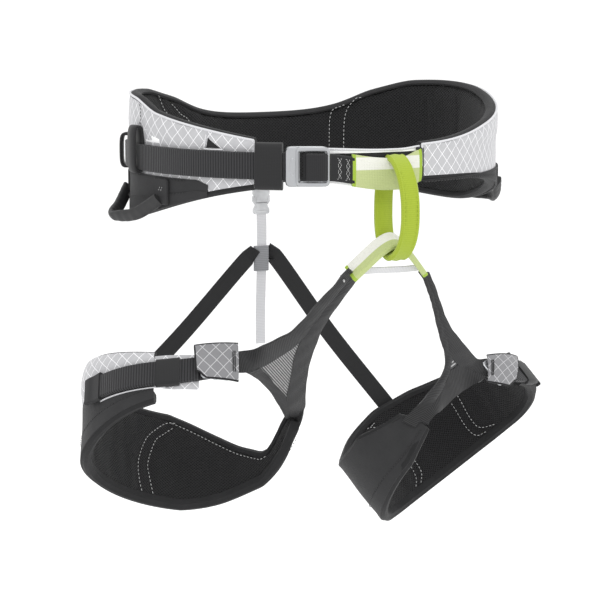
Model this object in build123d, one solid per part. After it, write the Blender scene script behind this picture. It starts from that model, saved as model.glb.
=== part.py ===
"""Climbing harness: padded waist belt, belay loop and two adjustable leg loops.

The origin is the centre of the waist opening at the height of the waist webbing. +Z is up, -Y is
the tie-in side (the wearer's front) and +X is the wearer's left. Sizes are in millimetres.
"""
from build123d import *
from dataclasses import dataclass
from math import atan2, cos, degrees, radians, sin, sqrt
import os

# ---- waist belt ------------------------------------------------------------------------------
BELT_HALF_WIDTH = 155.0      # to the outer face of the shell, at the hips
BELT_FRONT_DEPTH = 150.0     # centre to the outer face at the tie-in
BELT_BACK_DEPTH = 102.0      # centre to the outer face at the spine
BELT_SIDE_RADIUS = 85.0
SHELL_THICK = 1.5
FOAM_THICK = 5.5
LINING_THICK = 1.5
BINDING_HEIGHT = 3.5
BELT_TOP_BACK = 22.0         # heights of the belt's edges above and below the webbing's middle
BELT_TOP_LOBE = 48.5
BELT_TOP_HIP = 47.0
BELT_TOP_FRONT = 15.0
BELT_LOW_BACK = -38.0
BELT_LOW_HIP = -50.0
BELT_LOW_FRONT = -14.0
WING_END_RIGHT = -42.5       # plan angles from the front, positive towards the wearer's left
WING_END_LEFT = 9.5
BACK_PANEL_HALF_WIDTH = 62.0
BAND_TOP = -13.0             # top of the smooth lower band on the outside
BAND_THICK = 1.0
BAND_TIP_RIGHT = -62.0

# ---- waist webbing, buckle and tie-in ---------------------------------------------------------
WEB_GAP = 0.3
WEB_THICK = 2.2
WEB_HEIGHT = 21.0
TAIL_GAP = 0.2
TAIL_END = -98.0
WEB_LOOP_END = -20.0         # where the webbing's sewn front end starts
WEB_EXIT = -97.5             # where it leaves the belt's inside on the right wing
WEB_TURN = 0.3               # half the plan angle of each passage through the shell
POCKET_GAP = 0.2             # round the webbing inside the belt
BUCKLE_START = -33.0
BUCKLE_END = -20.5
BUCKLE_HEIGHT = 31.0
BUCKLE_THICK = 3.0
BUCKLE_RAIL = 4.0
SLIDER_THICK = 2.6
KEEPER_START = -41.5
KEEPER_END = -33.8
KEEPER_HEIGHT = 37.0
KEEPER_WALL = 1.4
KEEPER_PLAY = 0.6
BUCKLE_SHIFT = 1.2           # plan angle from the buckle's middle back to the slider's
FOLD_START = -20.1
FOLD_END = -14.1
FOLD_LAYER_GAP = 0.3
SLEEVE_START = -13.5
SLEEVE_END = 8.7
SLEEVE_HEIGHT = 25.0
SLEEVE_WALL = 1.0
BACKING_THICK = 2.2
BACKING_GAP = 0.2
BACKING_REACH = 5.0          # plan angle past the sleeve, towards the buckle
BACKING_DROP = 1.5
SLOT_ANGLES = (-87.0, -109.0)
SLOT_WIDTHS = (17.0, 9.0)
SLOT_TOPS = (26.0, 15.0)
SLOT_LOWS = (-13.5, -15.0)
SLOT_WALL = 1.6
SLOT_ROOM = 1.4              # from the webbing's tail to the inside of a clip slot
GEAR_LOOP_FRONT = 75.0
GEAR_LOOP_REAR = 110.0
GEAR_LOOP_DIAMETER = 7.0
GEAR_LOOP_TOP = -31.0
GEAR_LOOP_LOW = -61.0
GEAR_LOOP_BULGE = 17.0
GEAR_TAB_WIDTH = 13.0
GEAR_TAB_THICK = 3.0
MOVE_GAP = 0.6               # clearance round pieces that move

# ---- belay loop and lower tie-in arch ---------------------------------------------------------
BELAY_WIDTH = 15.0
BELAY_LAYER = 2.6            # each of its two webbing layers
BELAY_INNER_HALF_DEPTH = 17.5
BELAY_TOP = 13.8             # inside of the loop at the top and the bottom
BELAY_LOW = -70.0
ARCH_RADIUS = 30.0
ARCH_WIDTH = 18.0
ARCH_SLEEVE_WALL = 1.0
ARCH_TILT = 28.0
ARCH_RISE = 11.0             # from the loop's inner bottom curve to the band
SPACER_THICK = 1.2
SPACER_HEIGHT = 5.0

# ---- leg loops --------------------------------------------------------------------------------
PAD_FOAM = 5.0
PAD_LINING = 1.2
PAD_SHELL = 1.2
PAD_SIDE_RADIUS = 80.0
PAD_START = 50.0             # plan angles from the leg's front, positive towards the hip
TONGUE_START = 20.0
LEG_TOP_REAR = 42.0
LEG_TOP_SIDE = 36.0
LEG_TOP_FRONT = 17.0
LEG_LOW_REAR = -42.0
LEG_LOW_SIDE = -36.0
LEG_LOW_FRONT = -15.0
LEG_TOP_CROTCH = 19.0
LEG_LOW_CROTCH = -12.0
LEG_REACH = 30.0             # past the loop, where the edge lines end
CROTCH_TOP_SHARE = 0.1
SHARE_FULL = 1.3
TOP_TRIM = 12.0              # past a leg pad's highest and lowest edges
RIM_HEIGHT = 6.0
LEG_BAND_TOP = 6.0
LEG_WEB_END = 84.0
LEG_WEB_HEIGHT = 20.0
LEG_BUCKLE_HEIGHT = 27.0
LEG_BUCKLE_THICK = 2.4
LEG_BUCKLE_GAP = 0.9
LEG_KEEPER_PLAY = 0.2
LEG_KEEPER_WALL = 1.0
FLAP_GAP = 2.2
FLAP_HEIGHT = 32.0
FLAP_THICK = 1.6
TAIL_STOP_WIDTH = 9.0
RISER_THICK = 2.6
RISER_TOP_WIDTH = 18.0
RISER_ARM = 15.0
RISER_SEAM = 3.0             # plan angle from the riser's end to the webbing's
RISER_START = 3.4            # below the arch's ends
RISER_FORK = 0.42            # how far up the riser forks
RISER_FLARE = (6.0, 4.0)     # how much wider it is at the fork, on each side
WINDOW_INSET = (22.0, 13.0)  # of the mesh window from the riser's ends

# ---- rear riser -------------------------------------------------------------------------------
REAR_TAB_WIDTH = 11.0
REAR_BUCKLE_WIDTH = 15.0
REAR_BUCKLE_THICK = 4.6
REAR_BUCKLE_TOP = -43.0
REAR_BUCKLE_HEIGHT = 24.0
REAR_TAB_THICK = 1.4
REAR_TAB_TOP = -18.0
REAR_TAB_Y = BELT_BACK_DEPTH + 1.0
REAR_GAP = 0.6
PRONG_AT = 4.2               # from the middle to each prong
PRONG_WIDTH = 2.4
PRONG_THICK = 1.8
PRONG_GAP = 1.2
PRONG_REACH = 7.0
REAR_STRAP_WIDTH = 9.0
REAR_STRAP_THICK = 1.4
REAR_STRAP_END = -182.0
REAR_SLIDER_TOP = -95.0
REAR_SLIDER_HEIGHT = 22.0
REAR_ELASTIC_START = 12.5    # from the middle to each elastic strap's upper end
REAR_ELASTIC_WIDTH = 15.0
REAR_ELASTIC_THICK = 1.6
REAR_ELASTIC_CLEAR = 7.5     # from its sewn end's middle to the pad's top edge

REACH = 420.0                # larger than any radius of the model
UP = Vector(0, 0, 1)


@dataclass(frozen=True)
class Oval:
    """A plan outline of four tangent arcs, wider than deep, about its own centre."""

    half_width: float
    front: float
    back: float
    side_radius: float

    @property
    def side_centre(self) -> float:
        """Distance of the side arcs' centres from the middle."""
        return self.half_width - self.side_radius

    def arc(self, depth: float) -> tuple:
        """Centre offset and radius of the front or the back arc."""
        inset = depth - self.side_radius
        shift = (self.side_centre ** 2 - inset ** 2) / (2 * inset)
        return shift, depth + shift

    def joint(self, depth: float, off: float) -> tuple:
        """Where a front or back arc meets a side arc, as distances from the middle."""
        shift, radius = self.arc(depth)
        turn = atan2(shift, self.side_centre)
        return (self.side_centre + (self.side_radius + off) * cos(turn),
                (self.side_radius + off) * sin(turn))

    def face(self, off: float) -> Face:
        """The outline's face, moved outwards by off."""
        fx, fy = self.joint(self.front, off)
        bx, by = self.joint(self.back, off)
        wide = self.half_width + off
        edges = [
            ThreePointArc((-fx, -fy), (0, -self.front - off), (fx, -fy)),
            ThreePointArc((fx, -fy), (wide, 0), (bx, by)),
            ThreePointArc((bx, by), (0, self.back + off), (-bx, by)),
            ThreePointArc((-bx, by), (-wide, 0), (-fx, -fy)),
        ]
        return make_face(edges)

    def point(self, angle: float, off: float = 0.0) -> Vector:
        """The point of the moved outline in the direction angle from the front."""
        ray = Vector(sin(radians(angle)), -cos(radians(angle)), 0)
        depth = self.front if ray.Y < 0 else self.back
        shift, radius = self.arc(depth)
        centre = Vector(0, shift if ray.Y < 0 else -shift, 0)
        hit = self.along(ray, centre, radius + off)
        if abs(hit.X) > self.joint(depth, off)[0]:
            centre = Vector(self.side_centre if ray.X > 0 else -self.side_centre, 0, 0)
            hit = self.along(ray, centre, self.side_radius + off)
        return hit

    @staticmethod
    def along(ray: Vector, centre: Vector, radius: float) -> Vector:
        """Where a ray from the middle leaves a circle."""
        near = ray.dot(centre)
        return ray * (near + sqrt(near ** 2 + radius ** 2 - centre.dot(centre)))

    def plane(self, angle: float, off: float, height: float = 0.0) -> Plane:
        """A plane on the outline: local X runs along it, local Y up and local Z outwards."""
        here, ahead = self.point(angle, off), self.point(angle + 0.05, off)
        along = (ahead - here).normalized()
        return Plane(origin=here + UP * height, x_dir=along, z_dir=along.cross(UP))


BELT = Oval(BELT_HALF_WIDTH, BELT_FRONT_DEPTH, BELT_BACK_DEPTH, BELT_SIDE_RADIUS)


def slab(face: Face, low: float, high: float) -> Part:
    """A plan face made solid between two heights."""
    return Pos(0, 0, low) * extrude(face, high - low, dir=(0, 0, 1))


def wedge(start: float, end: float, low: float, high: float) -> Part:
    """The pie slice between two plan angles."""
    steps = max(2, int((end - start) // 45) + 2)
    turns = [radians(start + (end - start) * i / (steps - 1)) for i in range(steps)]
    corners = [(0, 0)] + [(REACH * sin(t), -REACH * cos(t)) for t in turns]
    return slab(make_face(Polyline(*corners, close=True)), low, high)


def ring(oval: Oval, inner: float, outer: float, low: float, high: float) -> Part:
    """A closed ring between two offsets of an outline."""
    return slab(oval.face(outer), low, high) - slab(oval.face(inner), low - 1, high + 1)


def band(oval: Oval, inner: float, outer: float, low: float, high: float,
         start: float, end: float) -> Part:
    """A stretch of such a ring between two plan angles."""
    return ring(oval, inner, outer, low, high) & wedge(start, end, low - 1, high + 1)


def between(low_points: list, high_points: list, low_in: float, high_in: float,
            along_x: bool) -> Part:
    """A block between two smooth edge lines, each given by (position, height) points."""
    low_line = Spline(*[(p, h + low_in) for p, h in low_points])
    high_line = Spline(*[(p, h - high_in) for p, h in high_points])
    sides = [Line(low_line @ 0, high_line @ 0), Line(low_line @ 1, high_line @ 1)]
    face = make_face([low_line, high_line] + sides)
    plane = Plane.YZ if along_x else Plane.XZ
    return extrude(plane * face, REACH, both=True)


# Heights of the belt's edges against their distance behind the middle.
EDGE_REACH = 40.0
BELT_TOP = [
    (-BELT_FRONT_DEPTH - EDGE_REACH, BELT_TOP_FRONT - 1),
    (-BELT_FRONT_DEPTH, BELT_TOP_FRONT),
    (-0.75 * BELT_FRONT_DEPTH, BELT_TOP_FRONT + 0.34 * (BELT_TOP_HIP - BELT_TOP_FRONT)),
    (-0.38 * BELT_FRONT_DEPTH, BELT_TOP_FRONT + 0.7 * (BELT_TOP_HIP - BELT_TOP_FRONT)),
    (0, BELT_TOP_HIP),
    (0.6 * BELT_BACK_DEPTH, BELT_TOP_LOBE),
    (0.8 * BELT_BACK_DEPTH, BELT_TOP_BACK + 0.68 * (BELT_TOP_LOBE - BELT_TOP_BACK)),
    (0.92 * BELT_BACK_DEPTH, BELT_TOP_BACK + 0.19 * (BELT_TOP_LOBE - BELT_TOP_BACK)),
    (BELT_BACK_DEPTH, BELT_TOP_BACK),
    (BELT_BACK_DEPTH + EDGE_REACH, BELT_TOP_BACK - 9),
]
BELT_LOW = [
    (-BELT_FRONT_DEPTH - EDGE_REACH, BELT_LOW_FRONT + 1),
    (-BELT_FRONT_DEPTH, BELT_LOW_FRONT),
    (-0.73 * BELT_FRONT_DEPTH, BELT_LOW_FRONT - 5),
    (0, BELT_LOW_HIP + 2),
    (0.4 * BELT_BACK_DEPTH, BELT_LOW_HIP),
    (0.9 * BELT_BACK_DEPTH, BELT_LOW_BACK - 3),
    (BELT_BACK_DEPTH, BELT_LOW_BACK),
    (BELT_BACK_DEPTH + EDGE_REACH, BELT_LOW_BACK + 2),
]
BELT_HIGH = BELT_TOP_LOBE + 15
BELT_DEEP = BELT_LOW_HIP - 15
SHELL_IN = -SHELL_THICK
FOAM_IN = SHELL_IN - FOAM_THICK
LINING_IN = FOAM_IN - LINING_THICK
WEB_OUT = WEB_GAP + WEB_THICK
WEB_MID = WEB_GAP + WEB_THICK / 2
TAIL_IN = WEB_OUT + TAIL_GAP
TAIL_OUT = TAIL_IN + WEB_THICK
WEB_HALF = WEB_HEIGHT / 2
POCKET_OUT = SHELL_IN - POCKET_GAP
POCKET_IN = POCKET_OUT - WEB_THICK
WEB_ENTRY = (SLEEVE_END + WING_END_LEFT) / 2 - WEB_TURN
STRAP_Y = -BELT_FRONT_DEPTH - WEB_MID


def belt_layer(inner: float, outer: float, start: float, end: float) -> Part:
    """A layer of the padded belt between its edge bindings."""
    layer = band(BELT, inner, outer, BELT_DEEP, BELT_HIGH, start, end)
    return layer & between(BELT_LOW, BELT_TOP, BINDING_HEIGHT, BINDING_HEIGHT, True)


def belt_binding(edge: list, above: bool) -> Part:
    """The binding that closes all layers along the top or the bottom edge."""
    strip = band(BELT, LINING_IN, 0, BELT_DEEP, BELT_HIGH, WING_END_LEFT, WING_END_RIGHT + 360)
    full = strip & between(BELT_LOW, BELT_TOP, 0, 0, True)
    cut = between(BELT_LOW, BELT_TOP, -BINDING_HEIGHT * 3, BINDING_HEIGHT, True) if above \
        else between(BELT_LOW, BELT_TOP, BINDING_HEIGHT, -BINDING_HEIGHT * 3, True)
    return full - cut


def pocket(grow: float) -> Part:
    """The webbing's run inside the belt, from the left wing's end round to the right wing."""
    half = WEB_HALF + grow
    run = band(BELT, POCKET_IN - grow, POCKET_OUT + grow, -half, half, WEB_ENTRY, WEB_EXIT + WEB_TURN + 360)
    ends = [passage(turn, half, grow) for turn in (WEB_ENTRY + WEB_TURN, WEB_EXIT + 360)]
    return run + ends


def passage(turn: float, half: float, grow: float) -> Part:
    """The webbing's short run through the shell at one plan angle."""
    wide = WEB_TURN * (1 + grow)
    return band(BELT, POCKET_IN - grow, WEB_OUT + grow, -half, half, turn - wide, turn + wide)


def belt_parts() -> dict:
    """The padded belt's own layers."""
    back = degrees(atan2(BACK_PANEL_HALF_WIDTH, -BELT_BACK_DEPTH))
    hollow = pocket(POCKET_GAP)
    parts = {
        "belt_lining": belt_layer(LINING_IN, FOAM_IN, WING_END_LEFT, WING_END_RIGHT + 360),
        "belt_foam_core": belt_layer(FOAM_IN, SHELL_IN, WING_END_LEFT, WING_END_RIGHT + 360) - hollow,
        "belt_shell_left": belt_layer(SHELL_IN, 0, WING_END_LEFT, back),
        "belt_shell_back": belt_layer(SHELL_IN, 0, back, 360 - back),
        "belt_shell_right": belt_layer(SHELL_IN, 0, 360 - back, WING_END_RIGHT + 360) - hollow,
        "belt_binding_top": belt_binding(BELT_TOP, True),
        "belt_binding_bottom": belt_binding(BELT_LOW, False),
    }
    spans = {"belt_band_left": (WING_END_LEFT + 0.5, back), "belt_band_right": (-back, BAND_TIP_RIGHT)}
    for name, (start, end) in spans.items():
        strip = band(BELT, 0, BAND_THICK, BELT_DEEP, BAND_TOP, start, end)
        parts[name] = strip & between(BELT_LOW, BELT_TOP, BINDING_HEIGHT, 0, True)
    return parts


def webbing_parts() -> dict:
    """The load-bearing waist webbing, its tail and the tie-in sleeve."""
    sleeve_half = SLEEVE_HEIGHT / 2
    inside = (WEB_GAP - MOVE_GAP / 3, WEB_OUT + MOVE_GAP / 3)
    shell = (inside[0] - SLEEVE_WALL, inside[1] + SLEEVE_WALL)
    sleeve = band(BELT, *shell, -sleeve_half, sleeve_half, SLEEVE_START, SLEEVE_END)
    sleeve -= ring(BELT, *inside, -WEB_HALF - 0.2, WEB_HALF + 0.2)
    backing_out = shell[0] - BACKING_GAP
    front = band(BELT, WEB_GAP, WEB_OUT, -WEB_HALF, WEB_HALF, WEB_LOOP_END, WEB_ENTRY + WEB_TURN)
    side = band(BELT, WEB_GAP, WEB_OUT, -WEB_HALF, WEB_HALF, WEB_EXIT + 360, BUCKLE_START + 360)
    return {
        "waist_webbing": pocket(0) + front + side,
        "waist_webbing_tail": band(BELT, TAIL_IN, TAIL_OUT, -WEB_HALF, WEB_HALF, TAIL_END, BUCKLE_START),
        "tie_in_sleeve": sleeve,
        "tie_in_backing": band(BELT, backing_out - BACKING_THICK, backing_out, -sleeve_half - BACKING_DROP,
                               sleeve_half, SLEEVE_START - BACKING_REACH, WEB_ENTRY - BACKING_GAP),
    }


def buckle_parts() -> dict:
    """The double-back waist buckle: a slotted plate and a slider, with the folded webbing."""
    middle = (BUCKLE_START + BUCKLE_END) / 2
    length = (BELT.point(BUCKLE_END) - BELT.point(BUCKLE_START)).length
    window = Rectangle(length - 4 * BUCKLE_RAIL, BUCKLE_HEIGHT - 2 * BUCKLE_RAIL)
    plate = RectangleRounded(length, BUCKLE_HEIGHT, BUCKLE_RAIL) - Pos(BUCKLE_RAIL, 0) * window
    frame = BELT.plane(middle, WEB_GAP) * extrude(plate, BUCKLE_THICK)
    play = MOVE_GAP / 2
    slot = Rectangle(length / 2 - 2.5 * BUCKLE_RAIL, WEB_HEIGHT + 2 * play)
    tongue = RectangleRounded(length / 2, BUCKLE_HEIGHT - BUCKLE_THICK, BUCKLE_RAIL / 2) - slot
    slider_at = BELT.plane(middle - BUCKLE_SHIFT, WEB_GAP + BUCKLE_THICK + play)
    slider = slider_at * extrude(tongue, SLIDER_THICK)
    layers = []
    start = WEB_OUT + play
    for _ in range(2):
        end = start + WEB_THICK
        layers.append(band(BELT, start, end, -WEB_HALF, WEB_HALF, FOLD_START, FOLD_END))
        start = end + FOLD_LAYER_GAP
    return {"waist_buckle_frame": frame, "waist_buckle_slider": slider, "webbing_fold": layers[0] + layers[1]}


def collar(oval: Oval, inside: tuple, half: float, wall: float, start: float, end: float,
           lift: float = 0.0) -> Part:
    """A closed elastic collar round a webbing, with its cavity between two offsets."""
    outer = band(oval, inside[0] - wall, inside[1] + wall, lift - half - wall, lift + half + wall, start, end)
    return outer - ring(oval, *inside, lift - half, lift + half)


def holder_parts() -> dict:
    """The wide keeper, the two clip-slot loops and the two gear loops with their tabs."""
    parts = {}
    inside = (WEB_GAP - KEEPER_PLAY, TAIL_OUT + KEEPER_PLAY)
    half = KEEPER_HEIGHT / 2 - KEEPER_WALL
    parts["waist_keeper"] = collar(BELT, inside, half, KEEPER_WALL, KEEPER_START, KEEPER_END)
    for name, middle, width, top, low in zip(("clip_slot_front", "clip_slot_rear"), SLOT_ANGLES,
                                             SLOT_WIDTHS, SLOT_TOPS, SLOT_LOWS):
        turn = degrees(width / 2 / BELT.point(middle).length)
        span = (middle - turn, middle + turn)
        cave = TAIL_OUT + SLOT_ROOM
        outer = band(BELT, BAND_THICK, cave + SLOT_WALL, low, top, *span)
        parts[name] = outer - ring(BELT, 0, cave, low + SLOT_WALL, top - SLOT_WALL)
    radius = GEAR_LOOP_DIAMETER / 2
    stand = BAND_THICK + GEAR_TAB_THICK + MOVE_GAP + radius
    tabs = []
    for side, sign in (("left", 1), ("right", -1)):
        angles = (GEAR_LOOP_FRONT * sign, GEAR_LOOP_REAR * sign)
        ends = [BELT.point(a, stand) + UP * GEAR_LOOP_TOP for a in angles]
        middle = BELT.point(sum(angles) / 2, stand + GEAR_LOOP_BULGE) + UP * (GEAR_LOOP_LOW + radius)
        path = ThreePointArc(ends[0], middle, ends[1])
        section = Plane(origin=path @ 0, z_dir=path % 0) * Circle(radius)
        parts[f"gear_loop_{side}"] = sweep(section, path)
        for angle in angles:
            at = BELT.plane(angle, BAND_THICK, GEAR_LOOP_TOP + 1)
            tab = extrude(RectangleRounded(GEAR_TAB_WIDTH, GEAR_TAB_WIDTH, 2), GEAR_TAB_THICK + 2)
            tab = (at * tab) & ring(BELT, BAND_THICK, BAND_THICK + GEAR_TAB_THICK, BELT_DEEP, 0)
            tabs.append(tab)
    parts["gear_loop_tabs"] = Part() + tabs
    return parts


def racetrack(half: float, low: float, high: float) -> Face:
    """An upright loop outline with half-round ends, in the plane across X."""
    height = high - low
    return Plane.YZ * (Pos(STRAP_Y, (high + low) / 2) * SlotOverall(height, 2 * half, rotation=90))


def belay_parts() -> dict:
    """The two sewn layers of the belay loop."""
    parts = {}
    edges = [0, BELAY_LAYER, 2 * BELAY_LAYER]
    for name, near, far in (("belay_loop_inner", *edges[:2]), ("belay_loop_outer", *edges[1:])):
        outer = racetrack(BELAY_INNER_HALF_DEPTH + far, BELAY_LOW - far, BELAY_TOP + far)
        inner = racetrack(BELAY_INNER_HALF_DEPTH + near, BELAY_LOW - near, BELAY_TOP + near)
        parts[name] = extrude(outer, BELAY_WIDTH / 2, both=True) - extrude(inner, BELAY_WIDTH, both=True)
    return parts


ARCH_TOP = BELAY_LOW + ARCH_RISE
ARCH = Plane(origin=(0, STRAP_Y, ARCH_TOP), x_dir=(1, 0, 0),
             z_dir=(0, -cos(radians(ARCH_TILT)), -sin(radians(ARCH_TILT))))


def arch_ring(inner: float, outer: float, width: float) -> Part:
    """A half-round band whose crown is at the arch's origin."""
    disc = extrude(Circle(outer), width / 2, both=True) - extrude(Circle(inner), width, both=True)
    upper = Pos(0, outer) * Box(4 * outer, 2 * outer, 2 * width)
    return ARCH * (Pos(0, -ARCH_RADIUS) * (disc & upper))


def arch_point(along: float, down: float) -> Vector:
    """A point in the arch's middle plane."""
    return ARCH.from_local_coords(Vector(along, -down, 0))


def arch_parts() -> dict:
    """The lower tie-in: webbing in a striped sleeve, and the spacer strap below it."""
    half = WEB_THICK / 2
    core = arch_ring(ARCH_RADIUS - half, ARCH_RADIUS + half, ARCH_WIDTH - 2 * ARCH_SLEEVE_WALL - 0.4)
    room = arch_ring(ARCH_RADIUS - half - 0.1, ARCH_RADIUS + half + 0.1, ARCH_WIDTH - 2 * ARCH_SLEEVE_WALL)
    skin = half + 0.1 + ARCH_SLEEVE_WALL
    sleeve = arch_ring(ARCH_RADIUS - skin, ARCH_RADIUS + skin, ARCH_WIDTH) - room
    span = 2 * (ARCH_RADIUS - skin) - 0.4
    spacer = ARCH * (Pos(0, -ARCH_RADIUS - 0.2, 0) * Box(span, SPACER_HEIGHT, SPACER_THICK))
    return {"lower_tie_in_webbing": core, "lower_tie_in_sleeve": sleeve, "spacer_strap": spacer}


@dataclass(frozen=True)
class LegFit:
    """Where one leg loop hangs and how far its webbing is let out."""

    name: str
    side: int
    centre: tuple
    normal: tuple
    half_width: float
    half_depth: float
    elastic_at: float
    pad_end: float
    crotch_low: float
    web_lift: float
    flap_lift: float
    riser: tuple
    flap: tuple
    buckle: tuple
    keeper: tuple

    @property
    def oval(self) -> Oval:
        """The loop's outline in its own plane."""
        return Oval(self.half_width, self.half_depth, self.half_depth, PAD_SIDE_RADIUS)

    @property
    def plane(self) -> Plane:
        """The loop's own plane: local X to the wearer's left, local Z up the thigh."""
        up = Vector(*self.normal).normalized()
        return Plane(origin=self.centre, x_dir=Vector(0, 1, 0).cross(up).normalized(), z_dir=up)

    def place(self, piece: Part) -> Part:
        """Move a piece drawn for the wearer's left leg to this leg."""
        return self.plane * (piece if self.side > 0 else mirror(piece, Plane.YZ))

    def local(self, point: Vector) -> Vector:
        """A point of the harness in the frame in which the left leg is drawn."""
        inside = self.plane.to_local_coords(point)
        return Vector(inside.X * self.side, inside.Y, inside.Z)


# Plan angles run from the leg's front, positive towards the hip; the riser's are its outer and inner ends.
LEGS = (
    LegFit("left", 1, (110.5, -12.5, -239.5), (-0.46, 0.469, 0.754), 88.0, 86.0, elastic_at=180.0, pad_end=332.0,
           crotch_low=SHARE_FULL, web_lift=-1.0, flap_lift=-3.0, riser=(12.0, -21.0), flap=(24.0, 41.0),
           buckle=(25.0, 39.0), keeper=(50.0, 60.0)),
    LegFit("right", -1, (-109.0, -9.0, -222.0), (0.254, 0.546, 0.799), 95.0, 86.0, elastic_at=160.0, pad_end=298.0,
           crotch_low=0.3, web_lift=5.0, flap_lift=9.0, riser=(-2.0, -55.0), flap=(8.0, 29.5),
           buckle=(11.0, 27.0), keeper=(37.0, 48.5)),
)


def share_line(share: float, wide: float) -> list:
    """How much of an edge's full height shows from the crotch side, with its share there, to the hip."""
    step = (SHARE_FULL - share) / 4
    return [(-wide - LEG_REACH, share), (-wide, share), (-0.6 * wide, share + 2 * step),
            (-0.2 * wide, share + 3 * step), (0.3 * wide, SHARE_FULL - step / 4), (wide + LEG_REACH, SHARE_FULL)]


def leg_edges(fit: LegFit) -> tuple:
    """Edge heights of a leg pad against depth and, on the crotch side, against width."""
    deep = fit.half_depth
    spots = (-deep - LEG_REACH, -0.94 * deep, 0, 0.45 * deep, deep, deep + LEG_REACH)
    top = zip(spots, (LEG_TOP_FRONT, LEG_TOP_FRONT, LEG_TOP_SIDE, LEG_TOP_REAR, LEG_TOP_REAR, LEG_TOP_REAR))
    low = zip(spots, (LEG_LOW_FRONT, LEG_LOW_FRONT, LEG_LOW_SIDE, LEG_LOW_REAR, LEG_LOW_REAR, LEG_LOW_REAR))
    rise = [(x, LEG_TOP_CROTCH + (LEG_TOP_REAR - LEG_TOP_CROTCH) * share)
            for x, share in share_line(CROTCH_TOP_SHARE, fit.half_width)]
    fall = [(x, LEG_LOW_CROTCH + (LEG_LOW_REAR - LEG_LOW_CROTCH) * share)
            for x, share in share_line(fit.crotch_low, fit.half_width)]
    return list(low), list(top), fall, rise


def leg_block(fit: LegFit, low_in: float, high_in: float) -> Part:
    """The block that trims a leg pad's layers to its edges."""
    low, top, fall, rise = leg_edges(fit)
    return between(low, top, low_in, high_in, True) & between(fall, rise, low_in, high_in, False)


def pad_parts(fit: LegFit) -> dict:
    """Lining, foam, shell, lower band and rim bindings of one leg pad."""
    oval = fit.oval
    inner = leg_block(fit, RIM_HEIGHT, BINDING_HEIGHT)
    whole = leg_block(fit, 0, 0)
    high, deep = LEG_TOP_REAR + TOP_TRIM, LEG_LOW_REAR - TOP_TRIM
    foam_in, lining_in = -PAD_SHELL - PAD_FOAM, -PAD_SHELL - PAD_FOAM - PAD_LINING
    lining = band(oval, lining_in, foam_in, deep, high, PAD_START, fit.pad_end)
    foam = band(oval, foam_in, -PAD_SHELL, deep, high, PAD_START, fit.pad_end)
    shell = band(oval, -PAD_SHELL, 0, LEG_BAND_TOP, high, PAD_START, fit.pad_end)
    tongue = band(oval, -PAD_SHELL, 0, LEG_LOW_FRONT, high, TONGUE_START, PAD_START - 0.3)
    lower = band(oval, -PAD_SHELL, 0, deep, LEG_BAND_TOP, PAD_START, fit.pad_end)
    full = band(oval, lining_in, 0, deep, high, PAD_START, fit.pad_end) & whole
    top_rim = full - leg_block(fit, -20, BINDING_HEIGHT)
    low_rim = full - leg_block(fit, RIM_HEIGHT, -20)
    return {
        "pad_lining": lining & inner,
        "pad_foam": foam & inner,
        "pad_shell": (shell & inner) + (tongue & whole),
        "pad_band": lower & inner,
        "pad_binding_top": top_rim,
        "pad_binding_bottom": low_rim,
    }


def strap_parts(fit: LegFit) -> dict:
    """Adjusting webbing, buckle, keeper, tail stop and buckle flap of one leg loop."""
    oval = fit.oval
    half = LEG_WEB_HEIGHT / 2
    low, high = fit.web_lift - half, fit.web_lift + half
    web_out = WEB_GAP + WEB_THICK
    tail_in = web_out + TAIL_GAP
    tail_out = tail_in + WEB_THICK
    webbing = band(oval, WEB_GAP, web_out, low, high, fit.riser[0] + RISER_SEAM, LEG_WEB_END)
    tail = band(oval, tail_in, tail_out, low, high, fit.buckle[1] + 1, LEG_WEB_END)
    room = (WEB_GAP / 2, tail_out + LEG_KEEPER_PLAY)
    keeper = collar(oval, room, half + 2 * LEG_KEEPER_PLAY, LEG_KEEPER_WALL, *fit.keeper, fit.web_lift)
    keeper = keeper & ring(oval, WEB_GAP / 6, room[1] + 3, low - 5, high + 5)
    start, end = [oval.point(angle) for angle in fit.buckle]
    length = (end - start).length
    plate = RectangleRounded(length, LEG_BUCKLE_HEIGHT, LEG_BUCKLE_THICK)
    slot = Rectangle(length / 4, LEG_WEB_HEIGHT + 1)
    plate = plate - Pos(-length / 4, 0) * slot - Pos(length / 4, 0) * slot
    plate_in = web_out + LEG_BUCKLE_GAP
    buckle = oval.plane(sum(fit.buckle) / 2, plate_in, fit.web_lift) * extrude(plate, LEG_BUCKLE_THICK)
    flap_in = web_out + LEG_BUCKLE_THICK + FLAP_GAP
    flap_low, flap_high = fit.flap_lift - FLAP_HEIGHT / 2, fit.flap_lift + FLAP_HEIGHT / 2
    flap = band(oval, flap_in, flap_in + FLAP_THICK, flap_low, flap_high, *fit.flap)
    turned = Box(TAIL_STOP_WIDTH, LEG_WEB_HEIGHT + 3, 2 * WEB_THICK)
    stop_at = oval.plane(LEG_WEB_END, WEB_GAP + WEB_THICK, fit.web_lift)
    stop = stop_at * (Pos(TAIL_STOP_WIDTH / 2 + TAIL_GAP, 0) * turned)
    return {"webbing": webbing + tail, "keeper": keeper, "buckle": buckle, "buckle_flap": flap, "tail_stop": stop}


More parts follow.
